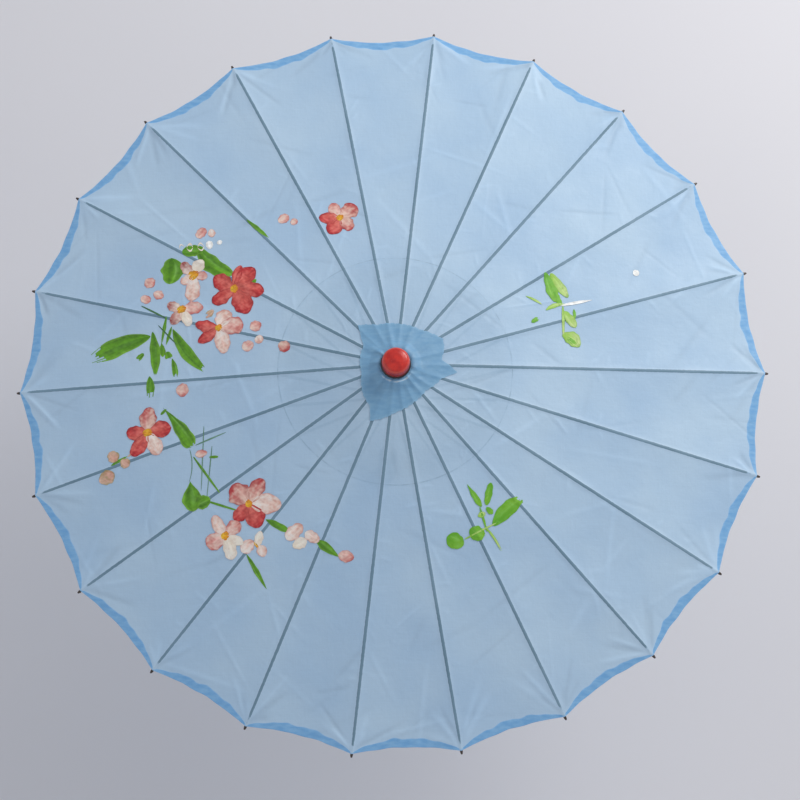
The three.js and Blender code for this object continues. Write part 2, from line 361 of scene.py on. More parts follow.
class Tree:
    """Short calls for putting a material's nodes together."""

    def __init__(self, name: str) -> None:
        """Starts an empty material with one Principled shader.

        Args:
            name: the material's name.
        """
        self.material = bpy.data.materials.new(name)
        self.material.use_nodes = True
        self.nodes = self.material.node_tree.nodes
        self.links = self.material.node_tree.links
        self.nodes.clear()
        self.out = self.nodes.new("ShaderNodeOutputMaterial")
        self.shader = self.nodes.new("ShaderNodeBsdfPrincipled")
        self.links.new(self.shader.outputs[0], self.out.inputs["Surface"])

    def put(self, socket: bpy.types.NodeSocket, value: object) -> None:
        """Links a socket to another node's output, or sets its plain value.

        Args:
            socket: the input.
            value: an output socket, a colour of three numbers, or a number or vector.
        """
        if isinstance(value, bpy.types.NodeSocket):
            self.links.new(value, socket)
        elif isinstance(value, tuple) and len(value) == 3 and socket.type == "RGBA":
            socket.default_value = (*value, 1.0)
        else:
            socket.default_value = value

    def node(self, kind: str, **inputs: object) -> bpy.types.Node:
        """A node of the given kind.

        Args:
            kind: its type name.
            inputs: its inputs by name, with _ for a space.

        Returns:
            The node.
        """
        made = self.nodes.new(kind)
        for key, value in inputs.items():
            self.put(made.inputs[key.replace("_", " ")], value)
        return made

    def set(self, **inputs: object) -> None:
        """Sets inputs of the shader by name."""
        for key, value in inputs.items():
            self.put(self.shader.inputs[key.replace("_", " ")], value)

    def math(self, operation: str, a: object, b: object = 0.0) -> bpy.types.NodeSocket:
        """One arithmetic step.

        Args:
            operation: its name.
            a: the first number.
            b: the second number.

        Returns:
            The result.
        """
        made = self.nodes.new("ShaderNodeMath")
        made.operation = operation
        self.put(made.inputs[0], a)
        self.put(made.inputs[1], b)
        return made.outputs[0]

    def mix(self, share: object, a: object, b: object,
            blend: str = "MIX") -> bpy.types.NodeSocket:
        """A colour between a and b.

        Args:
            share: how much of b.
            a: the first colour.
            b: the second colour.
            blend: how b is laid on a.

        Returns:
            The colour.
        """
        made = self.nodes.new("ShaderNodeMix")
        made.data_type, made.blend_type = "RGBA", blend
        self.put(made.inputs[0], share)
        self.put(made.inputs[6], a)
        self.put(made.inputs[7], b)
        return made.outputs[2]

    def scaled(self, source: bpy.types.NodeSocket, x: float, y: float,
               z: float = 1.0, turn: float = 0.0) -> bpy.types.NodeSocket:
        """Coordinates multiplied along each axis, after a turn about Z.

        Args:
            source: the coordinates.
            x: factor along X.
            y: factor along Y.
            z: factor along Z.
            turn: the turn, in radians.

        Returns:
            The new coordinates.
        """
        made = self.node("ShaderNodeMapping", Vector=source)
        made.inputs["Scale"].default_value = (x, y, z)
        made.inputs["Rotation"].default_value = (0.0, 0.0, turn)
        return made.outputs[0]

    def noise(self, source: bpy.types.NodeSocket, scale: float, detail: float = 3.0,
              rough: float = 0.5) -> bpy.types.NodeSocket:
        """Smooth random values about 0.5."""
        return self.node("ShaderNodeTexNoise", Vector=source, Scale=scale, Detail=detail,
                         Roughness=rough).outputs[0]

    def level(self, value: object, low: float, high: float, to_low: float = 0.0,
              to_high: float = 1.0) -> bpy.types.NodeSocket:
        """Stretches low..high to to_low..to_high and holds it there.

        Args:
            value: the number to stretch.
            low: where it starts to change.
            high: where it stops.
            to_low: the result at low.
            to_high: the result at high.

        Returns:
            The result.
        """
        made = self.nodes.new("ShaderNodeMapRange")
        for k, v in enumerate((value, low, high, to_low, to_high)):
            self.put(made.inputs[k], v)
        return made.outputs[0]

    def bump(self, height: object, distance: float, strength: float = 1.0,
             normal: bpy.types.NodeSocket | None = None) -> bpy.types.NodeSocket:
        """A normal tilted by a height field.

        Args:
            height: the field.
            distance: metres that a height of 1 stands for.
            strength: share of the tilt that is kept.
            normal: a tilted normal to start from.

        Returns:
            The normal.
        """
        made = self.node("ShaderNodeBump", Height=height, Distance=distance, Strength=strength)
        if normal is not None:
            self.links.new(normal, made.inputs["Normal"])
        return made.outputs[0]

    def zones(self) -> tuple[bpy.types.NodeSocket, ...]:
        """The four values kept on the points.

        Returns:
            Red, green, blue and alpha.
        """
        made = self.nodes.new("ShaderNodeAttribute")
        made.attribute_name = "zones"
        split = self.node("ShaderNodeSeparateColor", Color=made.outputs["Color"])
        return (*split.outputs[:3], made.outputs["Alpha"])

    def plan(self) -> bpy.types.NodeSocket:
        """The piece's own map.

        Returns:
            Its coordinates.
        """
        made = self.nodes.new("ShaderNodeUVMap")
        made.uv_map = "plan"
        return made.outputs[0]

    def place(self) -> bpy.types.NodeSocket:
        """Object coordinates."""
        return self.nodes.new("ShaderNodeTexCoord").outputs["Object"]


@dataclass(frozen=True)
class SatinCloth:
    """Thin satin-weave nylon. Zones: red where it lies double, green for the rib seen through it in
    painted shade, blue for painted light and shade on folds.
    """

    name: str = "satin_cloth"
    base: Colour = screen(167, 198, 226)
    pale: Colour = screen(180, 208, 231)
    double: Colour = screen(118, 174, 224)
    rib_seen_through_shade: Colour = screen(100, 130, 148)
    hem_gleam: Colour = screen(140, 190, 232)
    shade: Colour = screen(118, 148, 168)
    thread: float = 0.00042
    opacity: float = 0.93

    def make(self) -> bpy.types.Material:
        """Weave and slubs from the map, tone and painted light and shade from the zones, satin sheen
        from the shader.

        Returns:
            The material.
        """
        t = Tree(self.name)
        plan = t.plan()
        doubled, rib, fold, _ = t.zones()
        cloud = t.noise(plan, 9.0, 3.0)
        colour = t.mix(t.level(cloud, 0.35, 0.65), self.base, self.pale)
        slub = t.noise(t.scaled(plan, 40.0, 900.0), 1.0, 2.0)
        slub2 = t.noise(t.scaled(plan, 900.0, 40.0), 1.0, 2.0)
        yarn = t.math("ADD", t.level(slub, 0.3, 0.7, -0.016, 0.016),
                      t.level(slub2, 0.3, 0.7, -0.012, 0.012))
        away = t.node("ShaderNodeVectorMath", Vector=plan)
        away.operation = "LENGTH"
        reach = away.outputs["Value"]
        spots = t.noise(plan, 90.0, 3.0)
        # Painted shade: darker cloth over the frame inside the ring of elbows, and a faint darker
        # line where the elbows' thread shows through.
        within = t.level(reach, 0.1300, 0.1120, 0.0, 0.13)
        line = t.level(t.math("ABSOLUTE", t.math("SUBTRACT", reach, 0.1256)), 0.0009, 0.0003)
        line = t.math("MULTIPLY", line, t.level(spots, 0.4, 0.6, 0.05, 0.34))
        colour = t.mix(t.math("ADD", within, line), colour, self.shade)
        # Painted sheen: the doubled hem streaked towards a paler blue.
        streaks = t.noise(t.scaled(plan, 90.0, 260.0, 1.0, 0.6), 1.0, 3.0)
        hem = t.mix(t.level(streaks, 0.35, 0.68), self.double, self.hem_gleam)
        colour = t.mix(doubled, colour, hem)
        edge = t.math("ADD", rib, t.level(t.noise(plan, 260.0, 2.0), 0.3, 0.7, -0.16, 0.16))
        # Painted highlight: a pale band beside each rib's line.
        rib_side_highlight = t.math("MULTIPLY", t.level(rib, 0.0, 0.08), t.level(rib, 0.45, 0.2))
        colour = t.mix(t.math("MULTIPLY", rib_side_highlight, 0.30), colour, screen(206, 224, 238))
        # Painted shade: over each rib the cloth is mixed towards a dark colour, the rib seen through
        # it in shade.
        faded = t.level(t.noise(plan, 14.0, 2.0), 0.35, 0.65, 0.74, 0.9)
        rib_shade_share = t.math("MULTIPLY", t.level(edge, 0.35, 0.62), faded)
        colour = t.mix(rib_shade_share, colour, self.rib_seen_through_shade)
        # Painted light and shade: the fold zone brightens folds, crease tops and lit pleat sides,
        # and darkens crease troughs and shaded pleat sides.
        yarn_tone_and_painted_fold_light = t.math("ADD", t.math("ADD", yarn, 1.0), t.level(fold, -1.0, 1.0, -0.12, 0.16))
        grey = t.node("ShaderNodeCombineColor", Red=yarn_tone_and_painted_fold_light, Green=yarn_tone_and_painted_fold_light, Blue=yarn_tone_and_painted_fold_light)
        colour = t.mix(1.0, colour, grey.outputs[0], "MULTIPLY")
        # Painted highlight: where the fold zone is highest, at the hole's edge round the cap, the
        # cloth goes nearly white.
        colour = t.mix(t.level(fold, 1.1, 2.2, 0.0, 0.85), colour, screen(206, 226, 238))
        turns = 2.0 * math.pi / self.thread
        split = t.node("ShaderNodeSeparateXYZ", Vector=plan)
        warp = t.math("SINE", t.math("MULTIPLY", split.outputs[0], turns))
        weft = t.math("SINE", t.math("MULTIPLY", split.outputs[1], turns * 0.5))
        weave = t.math("MULTIPLY", warp, weft)
        crumple = t.noise(t.scaled(plan, 60.0, 60.0), 1.0, 5.0, 0.6)
        normal = t.bump(crumple, 0.0011, 0.55)
        normal = t.bump(t.math("ADD", t.math("MULTIPLY", weave, 0.5), slub), 0.00003, 0.35,
                        normal)
        t.set(Base_Color=colour, Normal=normal, Alpha=self.opacity,
              Roughness=t.level(t.noise(plan, 40.0, 4.0), 0.3, 0.7, 0.42, 0.56),
              Sheen_Weight=0.25, Sheen_Roughness=0.35, Sheen_Tint=(*screen(225, 240, 255), 1.0))
        t.shader.inputs["IOR"].default_value = 1.42
        return t.material


@dataclass(frozen=True)
class BrushPaint:
    """Opaque poster paint laid on with a loaded brush. Zones: its colour, and wetness in alpha."""

    name: str = "brush_paint"

    def make(self) -> bpy.types.Material:
        """Colour from the zones, broken by hair streaks along the stroke, with paint relief.

        Returns:
            The material.
        """
        t = Tree(self.name)
        source = t.nodes.new("ShaderNodeAttribute")
        source.attribute_name = "zones"
        plan = t.plan()
        hair = t.noise(t.scaled(plan, 3.0, 26.0), 1.0, 3.0, 0.6)
        shade = t.level(hair, 0.25, 0.75, 0.80, 1.14)
        grey = t.node("ShaderNodeCombineColor", Red=shade, Green=shade, Blue=shade)
        colour = t.mix(1.0, source.outputs["Color"], grey.outputs[0], "MULTIPLY")
        t.set(Base_Color=colour, Roughness=t.level(hair, 0.3, 0.7, 0.42, 0.62),
              Normal=t.bump(hair, 0.00022, 0.5), Coat_Weight=0.08, Coat_Roughness=0.3)
        return t.material


@dataclass(frozen=True)
class SplitBamboo:
    """Scraped bamboo strip with its fibres along the map's first axis. Red zone: stained end."""

    name: str = "split_bamboo"
    light: Colour = screen(214, 182, 128)
    dark: Colour = screen(168, 128, 78)
    stain: Colour = screen(70, 58, 50)

    def make(self) -> bpy.types.Material:
        """Long fibres, darker growth rings at intervals, and a worn satin surface.

        Returns:
            The material.
        """
        t = Tree(self.name)
        plan = t.plan()
        stained, ring, _, _ = t.zones()
        fibre = t.noise(t.scaled(plan, 18.0, 34.0), 1.0, 5.0, 0.65)
        patch = t.noise(t.scaled(plan, 12.0, 1.0), 1.0, 2.0)
        colour = t.mix(t.level(fibre, 0.32, 0.68), self.light, self.dark)
        colour = t.mix(t.level(patch, 0.4, 0.7, 0.0, 0.35), colour, screen(190, 142, 84))
        colour = t.mix(t.math("MULTIPLY", ring, 0.6), colour, screen(112, 78, 44))
        colour = t.mix(stained, colour, self.stain)
        t.set(Base_Color=colour, Roughness=t.level(fibre, 0.3, 0.7, 0.38, 0.6),
              Normal=t.bump(fibre, 0.00018, 0.6), Coat_Weight=0.12, Coat_Roughness=0.35)
        return t.material


class WoodTone(Enum):
    """Which turned or grown wood a piece is."""

    CANE = "cane"
    GRIP = "grip"
    BLOCK = "block"


@dataclass(frozen=True)
class TurnedWood:
    """Varnished wood, its grain along Z, in one of three tones."""

    tone: WoodTone = WoodTone.GRIP

    def make(self) -> bpy.types.Material:
        """Grain stretched along the shaft, pores, lathe lines and a satin varnish coat.

        Returns:
            The material.
        """
        light, dark, coat = {
            WoodTone.CANE: (screen(206, 168, 108), screen(160, 116, 66), 0.35),
            WoodTone.GRIP: (screen(150, 92, 52), screen(92, 52, 28), 0.55),
            WoodTone.BLOCK: (screen(196, 152, 98), screen(150, 104, 60), 0.2),
        }[self.tone]
        t = Tree(f"turned_wood_{self.tone.value}")
        place = t.place()
        grain = t.noise(t.scaled(place, 420.0, 420.0, 22.0), 1.0, 5.0, 0.62)
        pores = t.noise(t.scaled(place, 1500.0, 1500.0, 90.0), 1.0, 2.0)
        cloud = t.noise(place, 30.0, 3.0)
        colour = t.mix(t.level(grain, 0.36, 0.64), light, dark)
        colour = t.mix(t.level(cloud, 0.35, 0.7, 0.0, 0.3), colour, dark)
        colour = t.mix(t.level(pores, 0.62, 0.72, 0.0, 0.6), colour, screen(60, 36, 20))
        split = t.node("ShaderNodeSeparateXYZ", Vector=place)
        lathe = t.math("SINE", t.math("MULTIPLY", split.outputs[2], 9000.0))
        normal = t.bump(t.math("ADD", grain, t.math("MULTIPLY", lathe, 0.05)), 0.0002, 0.5)
        t.set(Base_Color=colour, Roughness=t.level(grain, 0.3, 0.7, 0.34, 0.52), Normal=normal,
              Coat_Weight=coat, Coat_Roughness=0.22)
        return t.material


@dataclass(frozen=True)
class MouldedCap:
    """Red moulded cap, semi-gloss, with a painted highlight round its top edge; red zone marks the
    foot, painted dark as shade.
    """

    name: str = "red_cap"
    red: Colour = screen(222, 50, 36)
    deep: Colour = screen(176, 26, 24)

    def make(self) -> bpy.types.Material:
        """Slightly uneven red with fine scuffs, a painted highlight round its top edge, and a foot
        ring painted nearly black for the shade round the cap's base.

        Returns:
            The material.
        """
        t = Tree(self.name)
        place = t.place()
        foot_shade, rim_highlight, _, _ = t.zones()
        cloud = t.noise(place, 120.0, 4.0)
        scuff = t.noise(t.scaled(place, 900.0, 260.0, 900.0, 0.5), 1.0, 3.0, 0.7)
        colour = t.mix(t.level(cloud, 0.35, 0.7), self.red, self.deep)
        colour = t.mix(t.level(scuff, 0.62, 0.75, 0.0, 0.35), colour, screen(240, 120, 100))
        # Painted highlight round the top edge.
        colour = t.mix(t.math("MULTIPLY", rim_highlight, 0.3), colour, screen(246, 130, 112))
        # Painted shade: the foot ring made nearly black.
        colour = t.mix(foot_shade, colour, screen(46, 16, 20))
        t.set(Base_Color=colour, Roughness=t.level(scuff, 0.3, 0.75, 0.26, 0.46),
              Normal=t.bump(t.math("ADD", cloud, t.math("MULTIPLY", scuff, 0.2)), 0.0002, 0.4),
              Coat_Weight=0.3, Coat_Roughness=0.15)
        return t.material


@dataclass(frozen=True)
class PlainWire:
    """Drawn steel wire with a dull, lightly tarnished skin."""

    name: str = "plain_wire"

    def make(self) -> bpy.types.Material:
        """Bare metal whose roughness and tone vary with tarnish.

        Returns:
            The material.
        """
        t = Tree(self.name)
        cloud = t.noise(t.place(), 700.0, 4.0)
        colour = t.mix(t.level(cloud, 0.4, 0.7), screen(196, 196, 192), screen(128, 120, 108))
        t.set(Base_Color=colour, Roughness=t.level(cloud, 0.3, 0.7, 0.25, 0.5),
              Normal=t.bump(cloud, 0.0001, 0.4))
        t.shader.inputs["Metallic"].default_value = 1.0
        return t.material


@dataclass(frozen=True)
class CottonThread:
    """Twisted cotton thread; its twist runs slantwise over the map."""

    name: str = "cotton_thread"
    light: Colour = screen(226, 220, 206)
    dark: Colour = screen(150, 142, 126)

    def make(self) -> bpy.types.Material:
        """Slanting ply lines, darker in their grooves as painted shade, and stray fibres.

        Returns:
            The material.
        """
        t = Tree(self.name)
        plan = t.plan()
        split = t.node("ShaderNodeSeparateXYZ", Vector=plan)
        slant = t.math("ADD", t.math("MULTIPLY", split.outputs[0], 5200.0),
                       t.math("MULTIPLY", split.outputs[1], 12.566))
        ply = t.level(t.math("SINE", slant), -1.0, 1.0)
        fuzz = t.noise(t.place(), 3000.0, 3.0)
        # Painted shade: darker in the grooves between the plies, where the bump is lowest.
        colour = t.mix(t.math("MULTIPLY", ply, fuzz), self.dark, self.light)
        t.set(Base_Color=colour, Roughness=t.level(fuzz, 0.3, 0.7, 0.75, 0.95),
              Normal=t.bump(ply, 0.00012, 0.8), Sheen_Weight=0.3)
        return t.material


@dataclass(frozen=True)
class PaleFloor:
    """Plain pale studio floor."""

    name: str = "pale_floor"

    def make(self) -> bpy.types.Material:
        """Nearly white, very slightly uneven.

        Returns:
            The material.
        """
        t = Tree(self.name)
        cloud = t.noise(t.place(), 1.2, 2.0)
        colour = t.mix(t.level(cloud, 0.3, 0.7), screen(232, 230, 233), screen(226, 224, 228))
        t.set(Base_Color=colour, Roughness=0.75)
        return t.material


# ------------------------------------------------------------------ the stretched cloth


@dataclass
class StretchedCloth:
    """The height and rim of the whole open canopy, as functions of plan position."""

    link: Linkage = LINK
    rib_top: float = 1.63 * MM
    cloth_r: float = 406 * MM
    scallop: float = 5.6 * MM
    sag: float = 2.6 * MM
    ridge: float = 0.4 * MM
    ridge_half: float = 2.6 * MM
    crown_r: float = 17.8 * MM
    crown_out_r: float = 29 * MM
    crown_z: float = 519.95 * MM
    wrinkle: float = 1.8
    seed: int = 22
    creases: np.ndarray = field(default_factory=lambda: np.zeros((0, 7)))
    waves: np.ndarray = field(default_factory=lambda: np.zeros((0, 4)))

    def __post_init__(self) -> None:
        """Draws the creases and the slow waves once, from a fixed seed.

        A crease is a row: middle x and y, direction x and y, half length, half width, height.
        A wave is a row: its wave numbers along x and y, its phase and its height.
        """
        random = np.random.default_rng(self.seed)
        rows = []
        for k in range(self.link.count):
            # creases that fan out from the hem's corners, three to each side of the rib
            for side in (-1.0, 1.0):
                for _ in range(3):
                    reach = random.uniform(18, 62) * MM
                    lean = side * math.radians(random.uniform(14, 62))
                    corner = self.link.out(k)[:2] * (self.cloth_r - 4 * MM)
                    a = self.link.azimuth(k) + math.pi - lean
                    way = np.array([math.cos(a), math.sin(a)])
                    rows.append([*(corner + way * reach * 0.55), *way, reach * 0.5,
                                 random.uniform(1.8, 3.6) * MM,
                                 random.uniform(0.18, 0.42) * MM * random.choice([-1, 1])])
            # short tucks beside the rib
            for _ in range(7):
                r = random.uniform(60, 385) * MM
                side = random.choice([-1.0, 1.0])
                a = self.link.azimuth(k) + side * random.uniform(5, 12) * MM / r
                turn = a + side * math.radians(random.uniform(35, 90))
                rows.append([r * math.cos(a), r * math.sin(a), math.cos(turn), math.sin(turn),
                             random.uniform(4, 10) * MM, random.uniform(0.9, 1.9) * MM,
                             random.uniform(0.10, 0.24) * MM])
            # longer creases anywhere in the gore, at any angle
            for _ in range(7):
                r = math.sqrt(random.uniform(0.04, 0.95)) * 0.4
                a = self.link.azimuth(k) + random.uniform(0.0, self.link.pitch)
                turn = random.uniform(0, math.pi)
                rows.append([r * math.cos(a), r * math.sin(a), math.cos(turn), math.sin(turn),
                             random.uniform(14, 46) * MM, random.uniform(1.2, 3.6) * MM,
                             random.uniform(0.08, 0.26) * MM * random.choice([-1, 1])])
        self.creases = np.array(rows)
        turns = random.uniform(0, 2 * math.pi, 10)
        lengths = random.uniform(0.03, 0.12, 10)
        self.waves = np.stack([np.cos(turns) * 2 * math.pi / lengths,
                               np.sin(turns) * 2 * math.pi / lengths,
                               random.uniform(0, 6.28, 10),
                               random.uniform(0.015, 0.05, 10) * MM * lengths / 0.06], 1)

    def from_rib(self, x: np.ndarray, y: np.ndarray) -> tuple[np.ndarray, np.ndarray]:
        """Radius, and angle from the nearest rib."""
        r, a = np.hypot(x, y), np.arctan2(y, x) - self.link.first
        return r, a - self.link.pitch * np.round(a / self.link.pitch)

    def rim(self, angle: np.ndarray, azimuth: np.ndarray | float = 0.0) -> np.ndarray:
        """Hem radius at an angle from the nearest rib.

        The straight line between two rib ends, drawn in by a parabola, with a slight unevenness.

        Args:
            angle: angles from the nearest rib.
            azimuth: azimuths, which the unevenness follows.

        Returns:
            Radii.
        """
        half = self.link.half
        share = np.abs(angle) / (2 * half)
        straight = self.cloth_r * math.cos(half) / np.cos(half - np.abs(angle))
        uneven = (np.sin(azimuth * 61.0) + 0.7 * np.sin(azimuth * 97.0 + 1.0)) * 0.35 * MM
        bow = 4 * share * (1 - share)
        return straight - self.scallop * bow + uneven * bow

    def crumple(self, x: np.ndarray, y: np.ndarray, slow: float = 1.0) -> np.ndarray:
        """Sum of the creases, each a bell across and a flat-topped bell along, and slow waves.

        Args:
            x: plan positions along X.
            y: plan positions along Y.
            slow: share of the slow waves.

        Returns:
            Heights, before the cloth's own wrinkle factor.
        """
        total = np.zeros_like(x)
        for cx, cy, dx, dy, length, width, height in self.creases:
            near = (np.abs(x - cx) < length * 2) & (np.abs(y - cy) < length * 2)
            if not near.any():
                continue
            u, v = x[near] - cx, y[near] - cy
            along, over = (u * dx + v * dy) / length, (v * dx - u * dy) / width
            total[near] += height * np.exp(-over**2 - along**4)
        for kx, ky, phase, height in self.waves:
            total += slow * height * np.sin(kx * x + ky * y + phase)
        return total

    def height(self, x: np.ndarray, y: np.ndarray) -> np.ndarray:
        """Height of the cloth over plan points.

        Flat gores between straight ribs, sagging by a parabola that grows towards the rim, a
        narrow ridge over each rib, creases that fade at the ribs, and a crown over the hub.

        Args:
            x: plan positions along X.
            y: plan positions along Y.

        Returns:
            Heights.
        """
        link = self.link
        r, d = self.from_rib(x, y)
        chord = r * np.cos(link.half - np.abs(d)) / math.cos(link.half)
        share = np.abs(d) / link.pitch
        belly = 4 * share * (1 - share)
        over = r * np.sin(d)
        z = link.hub_z + self.rib_top - 0.1 * MM - (chord - link.hub_r) * math.tan(link.slope)
        z -= self.sag * (r / self.cloth_r) ** 1.5 * belly
        z += self.ridge * np.exp(-(over / self.ridge_half) ** 2)
        free = smooth_step(1.5 * MM, 7 * MM, np.abs(over)) * smooth_step(0.03, 0.07, r)
        z += self.crumple(x, y) * (0.12 + 0.88 * free) * self.wrinkle
        crown = smooth_step(0.0, 1.0, (self.crown_out_r - r) / (self.crown_out_r - self.crown_r))
        return z + (self.crown_z - z) * crown


@dataclass
class Canopy:
    """The cloth as one strip per rib, each folded under at the hem.

    A strip runs from mid-gore to mid-gore. Across it, points crowd at the rib; along it they are
    even from the crown to the rim, and then turn under the hem and back inwards. The hem's rows
    are shares of its width from the edge, and so is clear_of_hem, where the even rows stop. The
    fold's depth is its least and what the middle of a gore adds. near_rib is columns' distances
    from the rib in millimetres, line_half is half the width of the rib's line through the cloth,
    and a section of the glued band is (distance from the pin, half width, height).
    """

    cloth: StretchedCloth
    link: Linkage = LINK
    along: int = 200
    inner_r: float = 17.0 * MM
    hem: float = 8.8 * MM
    keep: float = STRIP_KEEP
    near_rib: tuple[float, ...] = (0.0, 0.7, 1.3, 1.7, 2.1, 2.6, 3.4, 4.8)
    beside: int = 24
    hem_rows: tuple[float, ...] = (1.35, 1.1, 1.0, 0.93, 0.75, 0.5, 0.25, 0.08, 0.0)
    clear_of_hem: float = 1.6
    fold_depth: tuple[float, float] = (0.12 * MM, 0.33 * MM)
    bulge: float = 0.16 * MM
    line_half: float = 1.62 * MM
    line_blur: float = 0.9 * MM
    glued: tuple[tuple[float, float, float], ...] = (
        (13, 1.7, 1.72), (100, 2.2, 1.72), (392, 2.0, 1.42), (396, 1.85, 1.3))

    def offsets(self, r: np.ndarray) -> np.ndarray:
        """Angles from the rib of every column at each nominal radius, from one side to the other.

        Args:
            r: nominal radii, (n,).

        Returns:
            Angles, (n, columns): fixed distances near the rib, even shares of the rest.
        """
        wide = r[:, None] * self.link.half
        fixed = np.array(self.near_rib)[None, :] * MM * np.minimum(1.0, wide / (9 * MM))
        rest = np.linspace(0, 1, self.beside + 1)[None, 1:]
        outer = fixed[:, -1:] + (wide - fixed[:, -1:]) * rest
        side = np.concatenate([fixed, outer], 1) / r[:, None]
        return np.concatenate([-side[:, :0:-1], side], 1)

    def hem_width(self, angle: np.ndarray, azimuth: np.ndarray) -> np.ndarray:
        """Width of the turned hem: a lens between two ribs, a little uneven.

        Args:
            angle: angles from the nearest rib.
            azimuth: azimuths, which the unevenness follows.

        Returns:
            Widths.
        """
        share = np.abs(angle) / self.link.pitch
        lens = (4 * share * (1 - share)) ** 0.75
        uneven = 1 + 0.07 * np.sin(azimuth * 83.0) + 0.05 * np.sin(azimuth * 151.0)
        return (1.0 * MM + (self.hem - 1.0 * MM) * lens) * uneven

    def rows(self, azimuth: float) -> tuple[np.ndarray, np.ndarray, np.ndarray]:
        """Where a strip's points lie: fans of rays from the shaft, crowded at the rib.

        The rows go evenly from the crown to just inside the hem, over the hem, and then round
        its fold and back under its whole width.

        Args:
            azimuth: the rib's azimuth.

        Returns:
            Radii, angles from the rib, and how far each point lies below the cloth.
        """
        t, last = np.linspace(0, 1, self.along), np.array(self.hem_rows)
        nominal = self.inner_r + (self.cloth.cloth_r - self.inner_r) * t
        d = self.offsets(np.concatenate([nominal, np.full(len(last), self.cloth.cloth_r)]))
        rim, hem = self.cloth.rim(d, azimuth + d), self.hem_width(d, azimuth + d)
        stop = rim - self.clear_of_hem * hem
        r = self.inner_r + (stop - self.inner_r) * np.concatenate([t, last * 0 + 1])[:, None]
        r[self.along:] = (rim - hem * np.concatenate([t, last])[:, None])[self.along:]
        edge_d, edge_r = d[-1:], rim[-1:]
        wide = self.hem_width(edge_d, azimuth + edge_d)
        low, more = self.fold_depth
        depth = low + more * smooth_step(0.0, 0.25, np.abs(edge_d) / self.link.pitch)
        fold_r = [edge_r + self.bulge, edge_r - 0.02 * MM]
        fold_drop = [depth * 0.5, depth]
        for part in (0.15, 0.4, 0.7, 1.0):
            fold_r.append(edge_r - wide * part)
            fold_drop.append(depth * (1.0 - 0.25 * part))
        return (np.concatenate([r, *fold_r]), np.concatenate([d, *[edge_d] * len(fold_r)]),
                np.concatenate([np.zeros_like(r), *fold_drop]))

    def marks(self, r: np.ndarray, d: np.ndarray, azimuth: float) -> np.ndarray:
        """The zones of a strip: doubled cloth, the rib's line, and painted highlight and shade on
        folds and creases.

        Args:
            r: radii.
            d: angles from the rib.
            azimuth: the rib's azimuth.

        Returns:
            Point values.
        """
        hem, rim = self.hem_width(d, azimuth + d), self.cloth.rim(d, azimuth + d)
        inside = (rim - r) / hem
        doubled = 1.0 - smooth_step(0.97, 1.08, inside)
        # Painted highlights along the hem's fold and along its inner edge.
        fold = np.exp(-(((rim - r) / MM - 0.2) / 0.9) ** 2)
        hem_inner_edge_highlight = np.exp(-((inside - 1.0) * hem / (0.7 * MM)) ** 2)
        half = self.line_half - 0.25 * MM * smooth_step(0.3, 0.406, r)
        over = np.abs(r * np.sin(d))
        rib = 1.0 - smooth_step(half - self.line_blur, half + self.line_blur, over)
        rib *= 1.0 - 0.75 * smooth_step(0.388, 0.402, r)
        # Painted light and shade on the creases: lighter where they rise, darker where they sink.
        crease = self.cloth.crumple(r * np.cos(azimuth + d), r * np.sin(azimuth + d), 0.0)
        ridge = np.clip(crease / (0.3 * MM), -1, 1) * 0.55 * (1 - rib)
        return np.stack([doubled, rib, fold * 0.5 + hem_inner_edge_highlight * 0.35 + ridge,
                         np.ones_like(rib)], -1)

    def strip(self, index: int) -> Surface:
        """The surface of one strip, hem fold included.

        Args:
            index: its rib.

        Returns:
            The surface.
        """
        azimuth = self.link.azimuth(index)
        r, d, drop = self.rows(azimuth)
        x, y = r * np.cos(azimuth + d), r * np.sin(azimuth + d)
        return Surface.sheet(x, y, self.cloth.height(x, y) - drop, self.marks(r, d, azimuth))

    def band(self, index: int) -> Surface:
        """The cloth glued round the top of one rib, hidden until the canopy folds.

        An arch is carried along the rib: across it a point is (w c, h s), with c and s the
        cosine and sine of its angle raised to the power 0.55, w its half width and h its height.

        Args:
            index: its rib.

        Returns:
            The surface.
        """
        ahead, side = self.link.ahead(index), self.link.across(index)
        x = np.linspace(self.glued[0][0], self.glued[-1][0], 70)
        along, wide, high = np.array(self.glued).T
        w, h = np.interp(x, along, wide)[:, None], np.interp(x, along, high)[:, None]
        c, s = soft_square(np.radians(np.linspace(10, 170, 13)))
        points = (self.link.pin(index) + ahead * x[:, None, None] * MM
                  + side * (w * c)[..., None] * MM
                  + np.cross(ahead, side) * (h * s)[..., None] * MM)
        # Part of the rib-line colour: the rib seen through the cloth, in painted shade.
        zones = np.tile([0.0, 0.35, 0.0, 1.0], (*points.shape[:2], 1))
        return Surface.grid(points, points[..., :2], zones)

    def build(self) -> list[bpy.types.Object]:
        """All strips, each on its rib with its glued band.

        Returns:
            The pieces.
        """
        finish = SatinCloth().make()
        length = self.cloth.cloth_r - self.inner_r
        widest = 2 * self.cloth.cloth_r * math.tan(self.link.half)
        narrowest = 2 * self.inner_r * math.tan(self.link.half)
        area = (widest + narrowest) / 2 * length - 0.66 * self.cloth.scallop * widest
        area = area / math.cos(self.link.slope) + 0.7 * self.hem * widest
        made = []
        for index in range(self.link.count):
            number = f"{index + 1:02d}"
            piece = build(f"cloth_strip_{number}", [self.strip(index)], finish, None)
            band = build(f"glued_band_{number}", [self.band(index)], finish, None)
            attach(band, f"rib_{number}")
            self.link.fold(piece, index, self.link.pin(index), self.keep)
            made += [piece, band]
        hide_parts("canopy")
        return made


